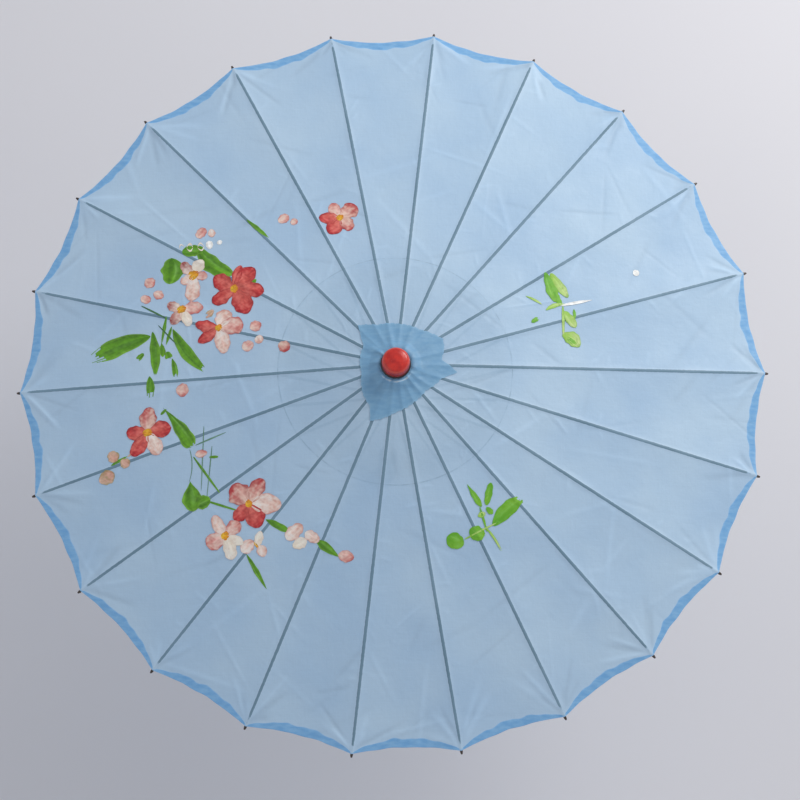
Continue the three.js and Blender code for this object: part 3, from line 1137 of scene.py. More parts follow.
@dataclass
class CollarPatch:
    """The doubled patch of cloth under the cap: a crown on the shaft and one leaf per rib.

    Its corners are plan positions in millimetres; a fold is (bearing in degrees, half width in
    degrees, height in millimetres).
    """

    cloth: StretchedCloth
    link: Linkage = LINK
    inner_r: float = 7.6 * MM
    split_r: float = 17.6 * MM
    keep: float = 0.30
    lift: float = 0.55 * MM
    corners: tuple[tuple[float, float], ...] = (
        (52, 20), (51, 31), (26, 41), (4, 47), (-19, 46), (-40, 46), (-34, 22), (-36, -8),
        (-35, -29), (-27, -44), (-27, -59), (-15, -57), (1, -50), (19, -40), (32, -27),
        (49, -13), (66, -5), (58, 2), (49, 8))
    folds: tuple[tuple[float, float, float], ...] = (
        (312, 5, 1.5), (142, 6, 1.3), (60, 7, 1.1), (100, 8, 0.8), (205, 9, 1.0), (255, 6, 1.2),
        (282, 7, 0.9), (352, 7, 1.3), (25, 9, 0.8), (175, 6, 0.8), (231, 5, 0.7), (330, 5, 0.8))

    def edge(self, azimuth: np.ndarray) -> np.ndarray:
        """Outline radius: where a ray from the shaft meets the outline of corners, a bit frayed.

        Between two corners the reciprocal of the radius runs straight with azimuth, which is
        nearly the straight edge between them.

        Args:
            azimuth: azimuths.

        Returns:
            Radii.
        """
        corner = np.array(self.corners, float)
        bearing, reach = np.arctan2(corner[:, 1], corner[:, 0]), np.hypot(*corner.T)
        order = np.argsort(bearing)
        flat = np.interp(azimuth, bearing[order], 1 / reach[order], period=2 * math.pi)
        return (1 / flat + 0.35 * np.sin(azimuth * 47) + 0.25 * np.sin(azimuth * 113 + 2)) * MM

    def pleats(self, r: np.ndarray, azimuth: np.ndarray) -> np.ndarray:
        """Height of the folds that run out from the cap, highest at the neck and gone outside.

        Args:
            r: radii.
            azimuth: azimuths.

        Returns:
            Heights: a bell across each fold times a bell along the radius.
        """
        fold = np.zeros_like(r)
        for bearing, wide, high in self.folds:
            turn = np.degrees(np.abs(np.angle(np.exp(1j * (azimuth - math.radians(bearing))))))
            fold += high * MM * np.exp(-(turn / wide) ** 2)
        clear = 0.15 + 0.85 * smooth_step(15.5 * MM, 20 * MM, r)
        return fold * np.exp(-((r - 17 * MM) / (19 * MM)) ** 2) * clear

    def surface(self, r: np.ndarray, azimuth: np.ndarray, low: float = 0.0) -> Surface:
        """A grid of the patch between given radii, lying on the canopy.

        Args:
            r: radii, (n, m).
            azimuth: azimuths, (n, m).
            low: how far below the leaves it lies.

        Returns:
            The surface.
        """
        x, y = r * np.cos(azimuth), r * np.sin(azimuth)
        z = self.cloth.height(x, y) + self.lift - low + self.pleats(r, azimuth)
        rim = self.edge(azimuth) - r
        # Painted highlights at the patch's edge and at the hole's edge on the -Y side, and painted
        # light and shade on the pleats' sides.
        hole_edge_highlight = np.exp(-((r / MM - 19.2) / 0.9) ** 2) * smooth_step(0.2, 0.9, -np.sin(azimuth))
        zones = np.stack([smooth_step(0.5 * MM, 3.0 * MM, rim) * 0.55 + 0.45, np.zeros_like(r),
                          np.exp(-(rim / (0.8 * MM)) ** 2) * 0.5 + hole_edge_highlight * 2.4
                          + 0.8 * np.gradient(self.pleats(r, azimuth), axis=1) / (0.1 * MM),
                          np.ones_like(r)], -1)
        return Surface.sheet(x, y, z, zones)

    def build(self) -> list[bpy.types.Object]:
        """The crown and the leaves.

        Returns:
            The pieces.
        """
        finish = SatinCloth(name="doubled_cloth", base=screen(132, 178, 210),
                            pale=screen(148, 190, 218), double=screen(116, 162, 198),
                            hem_gleam=screen(128, 172, 204),
                            opacity=1.0).make()
        a = np.linspace(0, 2 * math.pi, 177)[None, :] + self.link.azimuth(0)
        r = np.linspace(self.inner_r, self.split_r + 2.6 * MM, 18)[:, None]
        a, r = np.broadcast_arrays(a, r)
        crown = self.surface(r, a, 0.25 * MM)
        skirt = smooth_step(self.split_r - 1 * MM, self.split_r + 2.6 * MM, r[:, ::-1])
        crown.points[..., 2] -= skirt * 0.18 * MM
        top = build("collar_crown", [crown], finish, None)
        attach(top, "shaft")
        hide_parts("collar_patch")
        made = [top]
        for index in range(self.link.count):
            number = f"{index + 1:02d}"
            side = np.linspace(-1, 1, 33)[None, :] * self.link.half + self.link.azimuth(index)
            t = np.linspace(0, 1, 36)[:, None]
            rim = self.edge(side)
            radius = self.split_r + (rim - self.split_r) * t
            side = np.broadcast_to(side, radius.shape)
            leaf = build(f"collar_leaf_{number}", [self.surface(radius, side)], finish, None)
            self.link.fold(leaf, index, self.link.pin(index), self.keep)
            made.append(leaf)
        return made


# ------------------------------------------------------------------ painted flowers


class Tint(Enum):
    """Paint mixtures, each as (near the flower's heart, at the tip, along the edges)."""

    RED = (screen(228, 112, 98), screen(206, 50, 54), screen(150, 26, 40))
    ROSE = (screen(244, 206, 188), screen(204, 74, 74), screen(168, 46, 56))
    PINK = (screen(246, 214, 200), screen(226, 146, 134), screen(196, 84, 86))
    BLUSH = (screen(252, 238, 226), screen(240, 196, 178), screen(220, 146, 134))
    CREAM = (screen(246, 230, 208), screen(252, 246, 236), screen(236, 212, 194))
    DIPPED = (screen(248, 222, 208), screen(150, 36, 46), screen(198, 122, 112))
    YOLK = (screen(242, 196, 44), screen(226, 132, 26), screen(204, 124, 30))
    AMBER = (screen(236, 176, 34), screen(214, 108, 22), screen(226, 150, 40))
    LEAF = (screen(80, 138, 16), screen(102, 162, 26), screen(132, 182, 72))
    MOSS = (screen(58, 104, 56), screen(76, 122, 80), screen(60, 104, 60))
    FAINT = (screen(96, 142, 112), screen(120, 158, 140), screen(112, 150, 140))
    SPRIG = (screen(150, 200, 66), screen(216, 232, 160), screen(118, 178, 40))
    LIME = (screen(96, 172, 30), screen(134, 196, 48), screen(110, 178, 40))
    WHITE = (screen(250, 250, 246), screen(252, 252, 250), screen(246, 246, 240))
    OLIVE = (screen(228, 186, 164), screen(208, 142, 122), screen(140, 148, 78))


# paints that dry in blotches
MOTTLED = {Tint.RED, Tint.ROSE, Tint.PINK, Tint.BLUSH, Tint.DIPPED, Tint.CREAM, Tint.OLIVE,
           Tint.SPRIG, Tint.LIME}


class Outline(Enum):
    """Stroke shapes (a, b): at a share u of its length, the half width is sin(pi u^a) to the b."""

    PETAL = (1.2, 0.52)
    LEAF = (0.85, 0.85)
    WEDGE = (2.0, 0.70)
    DAB = (1.0, 0.5)
    STEM = (0.9, 0.35)
    DROP = (1.6, 0.75)


@dataclass(frozen=True)
class Stroke:
    """One touch of the brush on the open cloth, in millimetres from the shaft.

    Attributes:
        x, y: where it starts.
        to_x, to_y: where it ends.
        width: its widest.
        tint: its paint.
        outline: its shape.
        bend: how far its middle bows to the left, as a share of its length.
        dry: how much of its end breaks up into bristle marks.
    """

    x: float
    y: float
    to_x: float
    to_y: float
    width: float
    tint: Tint
    outline: Outline = Outline.PETAL
    bend: float = 0.0
    dry: float = 0.0


def strokes(tint: Tint, outline: Outline, *rows: tuple[float, ...]) -> tuple[Stroke, ...]:
    """Strokes alike in paint and shape; a row is x, y, to_x, to_y, width, any bend, any dryness."""
    return tuple(Stroke(*row[:5], tint, outline, *row[5:]) for row in rows)


@dataclass(frozen=True)
class Blossom:
    """A flower: petals as (bearing in degrees, length, width, paint), and a yellow heart."""

    x: float
    y: float
    petals: tuple[tuple[float, float, float, Tint], ...]
    heart: float = 9.0

    def strokes(self) -> list[Stroke]:
        """Its petals from the heart outwards, and three dabs for the heart.

        Returns:
            The strokes, lowest first.
        """
        made = []
        for bearing, length, width, tint in self.petals:
            a = math.radians(bearing)
            c, s = math.cos(a), math.sin(a)
            made.append(Stroke(self.x + 0.5 * c, self.y + 0.5 * s, self.x + length * c,
                               self.y + length * s, width * 1.2, tint, Outline.PETAL, 0.03))
        h = self.heart / 2
        made.append(Stroke(self.x - h * 0.9, self.y - h * 0.3, self.x + h * 0.9, self.y + h * 0.3,
                           h * 1.7, Tint.YOLK, Outline.DAB))
        for turn in (100.0, 250.0):
            a = math.radians(turn + self.x)
            made.append(Stroke(self.x, self.y, self.x + h * 1.05 * math.cos(a),
                               self.y + h * 1.05 * math.sin(a), h * 0.9, Tint.AMBER, Outline.DAB))
        return made


@dataclass
class PaintedFlowers:
    """Two clusters of blossom on the left and two green sprigs on the right."""

    cloth: StretchedCloth
    link: Linkage = LINK
    lift: float = 0.13 * MM
    layer: float = 0.0025 * MM
    keep: float = STRIP_KEEP
    seed: int = 5
    blossoms: tuple[Blossom, ...] = (
        Blossom(-60, 175, ((118, 20, 11, Tint.PINK), (36, 23, 16, Tint.ROSE),
                           (-48, 20, 13, Tint.ROSE), (-120, 23, 14, Tint.RED),
                           (180, 23, 12, Tint.RED))),
        Blossom(-219, 112, ((130, 20, 10, Tint.DIPPED), (60, 20, 11, Tint.CREAM),
                            (-10, 16, 9, Tint.PINK), (-93, 30, 14, Tint.BLUSH),
                            (213, 16, 9, Tint.BLUSH)), 13),
        Blossom(-174, 94, ((146, 27, 15, Tint.RED), (76, 28, 9, Tint.RED),
                           (47, 32, 16, Tint.RED), (-8, 33, 15, Tint.RED),
                           (-62, 33, 18, Tint.RED), (213, 28, 13, Tint.RED)), 10),
        Blossom(-231, 73, ((155, 17, 10, Tint.DIPPED), (3, 24, 12, Tint.PINK),
                           (-64, 22, 10, Tint.CREAM), (238, 20, 10, Tint.DIPPED)), 11),
        Blossom(-190, 50, ((168, 26, 11, Tint.RED), (215, 27, 10, Tint.RED),
                           (62, 22, 16, Tint.BLUSH), (4, 27, 18, Tint.PINK),
                           (-77, 30, 14, Tint.BLUSH)), 9),
        Blossom(-265, -63, ((86, 28, 15, Tint.ROSE), (178, 23, 14, Tint.RED),
                            (10, 26, 15, Tint.RED), (237, 30, 14, Tint.RED),
                            (-62, 28, 14, Tint.BLUSH)), 11),
        Blossom(-155, -143, ((132, 27, 19, Tint.ROSE), (60, 30, 15, Tint.ROSE),
                             (-4, 35, 18, Tint.BLUSH), (-66, 28, 17, Tint.RED),
                             (228, 23, 13, Tint.RED)), 9),
        Blossom(-180, -176, ((120, 25, 11, Tint.BLUSH), (40, 21, 13, Tint.PINK),
                             (205, 22, 16, Tint.PINK), (-72, 27, 12, Tint.CREAM),
                             (-25, 22, 8, Tint.CREAM)), 10),
    )
    leaves: tuple[Stroke, ...] = (
        *strokes(Tint.LEAF, Outline.DAB, (-243, 133, -245, 103, 24, 0.08),
                 (-232, 139, -208, 142, 14)),
        Stroke(-215, 144, -176, 110, 20, Tint.LEAF, Outline.PETAL, -0.10),
        *strokes(Tint.LEAF, Outline.LEAF, (-162, 175, -137, 152, 5),
                 (-264, 44, -340, 13, 22, -0.05, 0.35), (-262, 49, -258, -4, 11, 0.03, 0.12),
                 (-240, 51, -198, -2, 13, -0.07, 0.2), (-247, 66, -252, 34, 3.5),
                 (-241, 54, -247, 33, 3.5)),
        Stroke(-252, 37, -250, 20, 7, Tint.LEAF, Outline.DROP),
        Stroke(-246, 26, -242, 16, 8, Tint.LEAF, Outline.DAB, 0.0, 0.3),
        *strokes(Tint.LEAF, Outline.LEAF, (-240, 18, -236, -12, 6, 0.06, 0.4),
                 (-264, -1, -264, -34, 9, 0.04, 0.5)),
        Stroke(-271, 25, -279, 17, 6, Tint.LEAF, Outline.DAB, 0.0, 0.3),
        *strokes(Tint.MOSS, Outline.STEM, (-275, 79, -247, 63, 2.0), (-256, 56, -234, 32, 1.4)),
        Stroke(-249, -36, -215, -83, 17, Tint.LEAF, Outline.WEDGE, 0.03, 0.08),
        Stroke(-251, -44, -245, -38, 3, Tint.LEAF, Outline.STEM),
        Stroke(-304, -98, -286, -88, 3.5, Tint.LEAF, Outline.LEAF),
        Stroke(-286, -89, -268, -74, 2.4, Tint.OLIVE, Outline.STEM),
        *strokes(Tint.FAINT, Outline.STEM, (-213, -79, -180, -66, 1.6),
                 (-204, -58, -206, -128, 1.2), (-195, -80, -200, -138, 1.2)),
        Stroke(-215, -91, -186, -131, 2.6, Tint.LEAF, Outline.STEM),
        Stroke(-219, -83, -219, -118, 1.0, Tint.FAINT, Outline.STEM, 0.08),
        Stroke(-200, -139, -166, -150, 2.4, Tint.LEAF, Outline.STEM),
        Stroke(-198, -92, -188, -92, 3.2, Tint.LEAF, Outline.DAB),
        Stroke(-218, -117, -214, -150, 22, Tint.LEAF, Outline.DROP),
        Stroke(-212, -143, -196, -137, 15, Tint.LEAF, Outline.DAB),
        *strokes(Tint.LEAF, Outline.LEAF, (-137, -160, -104, -177, 7), (-84, -182, -59, -200, 9),
                 (-157, -196, -135, -233, 5)),
        Stroke(-166, -180, -157, -195, 1.4, Tint.FAINT, Outline.STEM),
        Stroke(-196, 71, -208, 58, 8, Tint.OLIVE, Outline.DAB, 0.0, 0.8),
        Stroke(-160, 96, -150, 104, 6, Tint.LEAF, Outline.DAB),
    )
    buds: tuple[Stroke, ...] = (
        *strokes(Tint.PINK, Outline.DAB, (-127, 171, -116, 179, 11), (-113, 168, -107, 174, 8),
                 (-216, 156, -207, 167, 11)),
        Stroke(-201, 166, -199, 156, 8, Tint.BLUSH, Outline.DAB),
        *strokes(Tint.WHITE, Outline.DAB, (-203, 152, -201, 142, 8), (-192, 152, -190, 147, 6)),
        *strokes(Tint.CREAM, Outline.STEM, (-227, 144, -220, 144, 2.2, 0.7),
                 (-227, 144, -220, 145, 2.0, -0.6), (-215, 144, -208, 145, 2.2, 0.7),
                 (-215, 144, -208, 146, 2.0, -0.6), (-235, 143, -229, 145, 1.8, 0.7)),
        *strokes(Tint.PINK, Outline.DAB, (-271, 110, -262, 101, 12), (-262, 94, -251, 88, 10),
                 (-276, 89, -265, 84, 10), (-156, 47, -144, 53, 12)),
        Stroke(-149, 38, -143, 31, 10, Tint.BLUSH, Outline.DAB),
        Stroke(-164, 25, -152, 31, 12, Tint.PINK, Outline.DAB),
        Stroke(-125, 29, -113, 22, 12, Tint.ROSE, Outline.DAB),
        Stroke(-235, -17, -221, -19, 14, Tint.PINK, Outline.DAB),
        *strokes(Tint.OLIVE, Outline.DAB, (-306, -83, -297, -93, 13), (-293, -92, -284, -99, 11),
                 (-316, -115, -300, -106, 15)),
        Stroke(-213, -89, -200, -87, 8, Tint.PINK, Outline.DAB),
        Stroke(-162, -194, -150, -182, 14, Tint.BLUSH, Outline.DAB),
        Stroke(-146, -189, -142, -172, 9, Tint.CREAM, Outline.DAB),
        Stroke(-143, -187, -138, -199, 11, Tint.BLUSH, Outline.DAB),
        Stroke(-149, -184, -144, -190, 3, Tint.YOLK, Outline.DAB),
        Stroke(-115, -181, -98, -166, 15, Tint.BLUSH, Outline.DAB),
        Stroke(-108, -189, -93, -182, 12, Tint.CREAM, Outline.DAB),
        Stroke(-95, -174, -80, -184, 12, Tint.BLUSH, Outline.DAB),
        Stroke(-60, -198, -43, -201, 12, Tint.PINK, Outline.DAB),
    )
    sprigs: tuple[Stroke, ...] = (
        Stroke(163, 115, 175, 81, 12, Tint.LIME, Outline.PETAL),
        Stroke(169, 114, 188, 87, 10, Tint.SPRIG, Outline.DAB),
        Stroke(173, 94, 180, 77, 6, Tint.LIME, Outline.STEM),
        Stroke(141, 86, 162, 75, 2.6, Tint.SPRIG, Outline.LEAF, 0.05, 0.3),
        Stroke(147, 56, 157, 63, 5, Tint.LIME, Outline.DAB, 0.0, 0.3),
        Stroke(163, 71, 186, 79, 5, Tint.SPRIG, Outline.LEAF, 0.1),
        Stroke(178, 77, 215, 86, 3.6, Tint.WHITE, Outline.LEAF),
        Stroke(182, 77, 182, 40, 3.0, Tint.SPRIG, Outline.STEM),
        Stroke(183, 71, 196, 53, 10, Tint.SPRIG, Outline.DAB),
        Stroke(194, 74, 195, 63, 3.2, Tint.LIME, Outline.DAB),
        Stroke(181, 45, 200, 32, 15, Tint.SPRIG, Outline.DAB, 0.1),
        Stroke(186, 41, 196, 33, 7, Tint.LIME, Outline.DAB),
        Stroke(262, 124, 267, 118, 7, Tint.WHITE, Outline.DAB),
        *strokes(Tint.LIME, Outline.DAB, (55, -179, 73, -187, 17),
                 (79, -171, 96, -179, 15, 0.0, 0.1), (104, -166, 139, -134, 15, 0.05, 0.2)),
        Stroke(76, -123, 92, -147, 7, Tint.LIME, Outline.DROP),
        Stroke(102, -121, 97, -145, 8, Tint.LIME, Outline.DAB),
        Stroke(88, -157, 96, -153, 6, Tint.SPRIG, Outline.DAB),
        Stroke(97, -147, 104, -154, 6, Tint.LIME, Outline.DAB),
        Stroke(90, -147, 98, -173, 2.4, Tint.LIME, Outline.STEM),
        *strokes(Tint.SPRIG, Outline.STEM, (74, -181, 108, -163, 2.0),
                 (97, -169, 115, -197, 2.6, 0.05, 0.4)),
    )

    def blotches(self, x: np.ndarray, y: np.ndarray, phase: np.ndarray) -> np.ndarray:
        """Uneven drying: a sum of products of two sines, each bent by a third along the other axis.

        Args:
            x: plan positions along X, in millimetres.
            y: plan positions along Y.
            phase: four phases of the stroke's own.

        Returns:
            Values about 0.
        """
        return sum(np.sin(x * f + 1.7 * np.sin(y * f * 0.8 + k) + k) *
                   np.sin(y * f * 1.1 + 1.3 * np.sin(x * f * 0.7 + k) + phase[k % 4])
                   for k, f in enumerate((0.28, 0.5, 0.85))) * 0.55

    def colours(self, tint: Tint, u: np.ndarray, v: np.ndarray, mottle: np.ndarray,
                phase: np.ndarray) -> np.ndarray:
        """The paint's colour over a stroke.

        It shifts from the first of the tint's colours to the second along the stroke and towards
        one side, goes over to the third at the edges, has bristle streaks and a pale gleam off
        its middle, and dries in blotches.

        Args:
            tint: the paint.
            u: shares of the length.
            v: shares of the half width.
            mottle: the blotches.
            phase: four phases of the stroke's own.

        Returns:
            Colours, one axis more than u.
        """
        heart, tip, edge = (np.array(c) for c in tint.value)
        streak = sum(np.sin(v * f + phase[k % 4] + 1.3 * np.sin(u * 2 + k)) / (k + 1.0)
                     for k, f in enumerate((5.0, 9.0, 16.0, 27.0))) * 0.25
        side_load = math.copysign(0.22, math.sin(phase[1]))
        toward = np.clip(u**1.2 + 0.45 * streak + side_load * v, 0, 1)[..., None]
        rimmed = np.clip(1.1 * np.abs(v) ** 5 + 0.9 * smooth_step(0.88, 1.0, u) + 0.3 * streak,
                         0, 1)[..., None] * 0.75
        colour = (heart + (tip - heart) * toward) * (1 - rimmed) + edge * rimmed
        gleam = np.exp(-((v - 0.35 * math.sin(phase[3])) / 0.2) ** 2) * smooth_step(0.1, 0.3, u)
        gleam = (gleam * smooth_step(0.0, 0.3, 0.9 - u) * (0.30 + 0.5 * streak))[..., None]
        colour = colour + (0.35 * colour + 0.12) * np.clip(gleam, 0, 1)
        if tint not in MOTTLED:
            return colour * np.clip(1 + 0.2 * mottle + 0.45 * streak, 0.5, 1.7)[..., None]
        dark, pale = edge * 0.9, np.minimum(heart * 1.15 + 0.08, 0.95)
        colour = colour + (dark - colour) * np.clip(0.5 * mottle * (0.4 + u), 0, 0.55)[..., None]
        return colour + (pale - colour) * np.clip(-0.5 * mottle, 0, 0.45)[..., None]

    def touch(self, stroke: Stroke, order: int, random: np.random.Generator) -> Surface:
        """The surface of one stroke.

        Along it u runs 0 to 1 and across it v runs -1 to 1, and its outline wavers a little. The
        paint stands highest near the edges, where the brush pushes it.

        Args:
            stroke: what to paint.
            order: how many strokes lie under it.
            random: source of the bristle marks.

        Returns:
            The surface, its quads dropped where the brush ran dry.
        """
        start, end = np.array([stroke.x, stroke.y]) * MM, np.array([stroke.to_x, stroke.to_y]) * MM
        length = float(np.hypot(*(end - start)))
        ahead = (end - start) / length
        left = np.array([-ahead[1], ahead[0]])
        n = int(np.clip(length / (0.9 * MM), 12, 70))
        m = int(np.clip(stroke.width / 0.9, 8, 22))
        u, v = np.meshgrid(np.linspace(0, 1, n), np.linspace(-1, 1, m), indexing="ij")
        shape, power = stroke.outline.value
        half = np.sin(math.pi * np.clip(u, 1e-4, 1 - 1e-4) ** shape) ** power
        phase = random.uniform(0, 6.28, 4)
        half = half * (1 + 0.07 * np.sin(7 * u + phase[0]) + 0.05 * np.sin(19 * u + phase[1])
                       + 0.04 * np.sin(15 * u + 9 * v + phase[2]))
        shift = stroke.bend * length * 4 * u * (1 - u)
        side = v * half * stroke.width * MM / 2 + shift
        x, y = np.moveaxis(start + ahead * (u * length)[..., None] + left * side[..., None], -1, 0)
        body = 1 - v**2
        relief = (0.03 + 0.05 * np.exp(-((np.abs(v) - 0.82) / 0.16) ** 2)) * MM * np.sqrt(
            np.clip(half, 0, 1))
        z = self.cloth.height(x, y) + self.lift + self.layer * order + relief * body**0.3
        colour = self.colours(stroke.tint, u, v, self.blotches(x / MM, y / MM, phase), phase)
        zones = np.concatenate([colour, np.ones_like(colour[..., :1])], -1)
        plan = np.stack([u * length / MM / 20 + order * 1.7, v + order], -1)
        surface = Surface.sheet(x, y, z, zones, plan)
        if stroke.dry > 0:
            wet = (1 - stroke.dry) + 0.75 * stroke.dry * (0.5 + 0.5 * np.sin(
                v * 31 + phase[2]) * np.sin(v * 13 + phase[3] + 2 * u))
            kept = (u < wet)[:, ::-1].ravel()
            surface.quads = surface.quads[kept[surface.quads].all(1)]
        return surface

    def build(self) -> list[bpy.types.Object]:
        """All strokes, their faces shared out between the cloth strips that they lie on.

        Returns:
            The pieces.
        """
        random = np.random.default_rng(self.seed)
        touches = list(self.leaves) + list(self.buds)
        for blossom in self.blossoms:
            touches += blossom.strokes()
        touches += list(self.sprigs)
        finish = BrushPaint().make()
        parts: dict[int, list[Surface]] = {}
        for order, stroke in enumerate(touches):
            surface = self.touch(stroke, order, random)
            flat = surface.points.reshape(-1, 3)
            middle = flat[surface.quads].mean(1)
            turn = (np.arctan2(middle[:, 1], middle[:, 0]) - self.link.first) / self.link.pitch
            owner = np.round(turn).astype(int) % self.link.count
            for index in np.unique(owner):
                parts.setdefault(int(index), []).append(
                    Surface(surface.points, surface.plan, surface.zones,
                            surface.quads[owner == index]))
        made = []
        for index, surfaces in sorted(parts.items()):
            piece = build(f"flower_paint_{index + 1:02d}", surfaces, finish, None)
            self.link.fold(piece, index, self.link.pin(index), self.keep)
            made.append(piece)
        return made


# ------------------------------------------------------------------ the frame under the cloth


@dataclass
class BambooFrame:
    """Ribs, stretchers and the thread that joins their elbows, each swept along its own line.

    Numbers without a unit are millimetres. A section is (distance from the pin, half width, half
    height), and the nodes of the cane are distances from the pin before a random shift.
    """

    link: Linkage = LINK
    rib: tuple[tuple[float, float, float], ...] = (
        (-1.5, 0.85, 0.8), (0, 0.95, 1.5), (9, 0.95, 1.5), (13, 1.5, 1.6), (100, 2.0, 1.6),
        (392, 1.8, 1.3), (401, 1.4, 1.0), (403, 0.8, 0.5))
    stretcher: tuple[tuple[float, float, float], ...] = (
        (-1.3, 0.7, 0.6), (0, 0.85, 1.3), (5.5, 0.85, 1.4), (9, 1.4, 1.5), (138, 1.3, 1.45),
        (143, 0.95, 1.35), (150, 0.95, 1.3), (151.3, 0.8, 0.6))
    rib_nodes: tuple[float, ...] = (58, 168, 286)
    stretcher_nodes: tuple[float, ...] = (42, 104)
    stained_from: float = 394.0
    cheek_size: tuple[float, float] = (3.5, 1.9)
    cheek_span: tuple[float, float] = (1.1, 1.9)
    cheek_below: float = 3.1 * MM
    thread_r: float = 0.38 * MM
    turn_r: float = 0.3 * MM
    keep: float = 0.17
    seed: int = 9

    def sweep(self, start: np.ndarray, ahead: np.ndarray, side: np.ndarray,
              sections: tuple[tuple[float, float, float], ...], nodes: np.ndarray,
              stained: float = math.inf) -> Surface:
        """A bar with rounded square corners along a straight line.

        A point of a ring is start + x ahead + w c side + h s up, with c and s the cosine and
        sine of its angle raised to the power 0.55 and w and h read off the sections. Each node
        of the cane adds a bell 1.6 mm long to w and h.

        Args:
            start: where x is 0.
            ahead: unit vector along it.
            side: unit vector across it.
            sections: its sections.
            nodes: where the cane's nodes are, in millimetres.
            stained: where the dark end begins, in millimetres, if it has one.

        Returns:
            The closed surface.
        """
        table = np.array(sections)
        x = np.unique(np.concatenate([np.linspace(table[0, 0], table[-1, 0], 90), table[:, 0],
                                      *[nodes + k * 0.8 for k in range(-3, 4)]]))
        x = x[(x >= table[0, 0]) & (x <= table[-1, 0])]
        swell = np.exp(-((x[:, None] - nodes) / 1.2) ** 2).sum(1)
        w = np.interp(x, table[:, 0], table[:, 1]) + 0.12 * swell
        h = np.interp(x, table[:, 0], table[:, 2]) + 0.05 * swell
        a = np.arange(16) * 2 * math.pi / 16 + math.pi / 16
        c, s = soft_square(a)
        up = np.cross(ahead, side)
        rings = (start + ahead * x[:, None, None] * MM + side * (w[:, None] * c)[..., None] * MM
                 + up * (h[:, None] * s)[..., None] * MM)
        plan = np.stack(np.broadcast_arrays(x[:, None] * MM, a / (2 * math.pi)), -1)
        zones = np.zeros((*rings.shape[:2], 4))
        if stained < math.inf:
            zones[..., 0] = smooth_step(stained - 3, stained + 3, x)[:, None]
        zones[..., 1] = np.clip(swell, 0, 1)[:, None]
        return Surface.tube(rings, plan, zones)

    def cheek(self, centre: np.ndarray, ahead: np.ndarray, side: np.ndarray,
              low: float, high: float) -> Surface:
        """A rounded plate of the elbow: an oblong outline carried sideways, its rims eased.

        Args:
            centre: the middle of its outline.
            ahead: unit vector along the rib.
            side: unit vector across it.
            low: where it begins along side, in millimetres.
            high: where it ends.

        Returns:
            The closed surface.
        """
        c, s = soft_square(np.arange(24) * 2 * math.pi / 24 + math.pi / 24, 0.5)
        c, s = c * self.cheek_size[0], s * self.cheek_size[1]
        up = np.cross(ahead, side)
        y = np.array([low, low + 0.08, high - 0.15, high])[:, None, None]
        size = np.array([0.95, 1.0, 1.0, 0.93])[:, None, None]
        rings = (centre + (ahead * c[:, None] + up * s[:, None]) * size * MM + side * y * MM)
        plan = np.stack(np.broadcast_arrays(c * MM + 0.115, (s + y[..., 0]) * 0.05), -1)
        return Surface.tube(rings, plan, np.zeros((*rings.shape[:2], 4)))

    def cord(self, path: np.ndarray, radius: float, ring: bool = False) -> Surface:
        """A round cord along a path: at each point a circle square to the path.

        Args:
            path: (n, 3) points.
            radius: its radius.
            ring: the path closes on itself.

        Returns:
            The closed surface.
        """
        if ring:
            ahead = np.roll(path, -1, 0) - np.roll(path, 1, 0)
        else:
            ahead = np.gradient(path, axis=0)
        ahead /= np.linalg.norm(ahead, axis=1, keepdims=True)
        helper = np.array([0.0, 0.0, 1.0]) if np.abs(ahead[:, 2]).max() < 0.9 else \
            np.array([0.123, 0.321, 0.03])
        one = np.cross(ahead, helper)
        one /= np.linalg.norm(one, axis=1, keepdims=True)
        two = np.cross(ahead, one)
        a = np.arange(10) * 2 * math.pi / 10
        rings = path[:, None] + radius * (one[:, None] * np.cos(a)[:, None]
                                          + two[:, None] * np.sin(a)[:, None])
        run = np.concatenate([[0], np.cumsum(np.linalg.norm(np.diff(path, axis=0), axis=1))])
        plan = np.stack(np.broadcast_arrays(run[:, None], a / (2 * math.pi)), -1)
        return Surface.tube(rings, plan, np.zeros((*rings.shape[:2], 4)), ring_path=ring)

    def thread(self, index: int) -> list[Surface]:
        """The thread from mid-gore to mid-gore through one elbow, and two turns beside it.

        Each half runs straight towards the next elbow and hangs below that line by a parabola.

        Args:
            index: the rib.

        Returns:
            The thread and its two turns.
        """
        joint = self.link.elbow(index)
        ends = [self.link.elbow(index + k) for k in (-1, 1)]
        t = np.linspace(0, 0.5, 14)[:, None]
        drop = np.array([0, 0, 1.0]) * (4 * t * (1 - t)) * 0.5 * MM
        before, after = (joint + (end - joint) * t - drop for end in ends)
        made = [self.cord(np.concatenate([before[::-1], after[1:]]), self.thread_r)]
        side = self.link.across(index)
        other = np.cross(side, (0, 0, 1))
        a = np.arange(18)[:, None] * 2 * math.pi / 18
        for y in (-2.5, 2.5):
            loop = joint + side * y * MM + 0.62 * MM * (other * np.cos(a)
                                                        + np.array([0, 0, 1]) * np.sin(a))
            made.append(self.cord(loop, self.turn_r, ring=True))
        return made

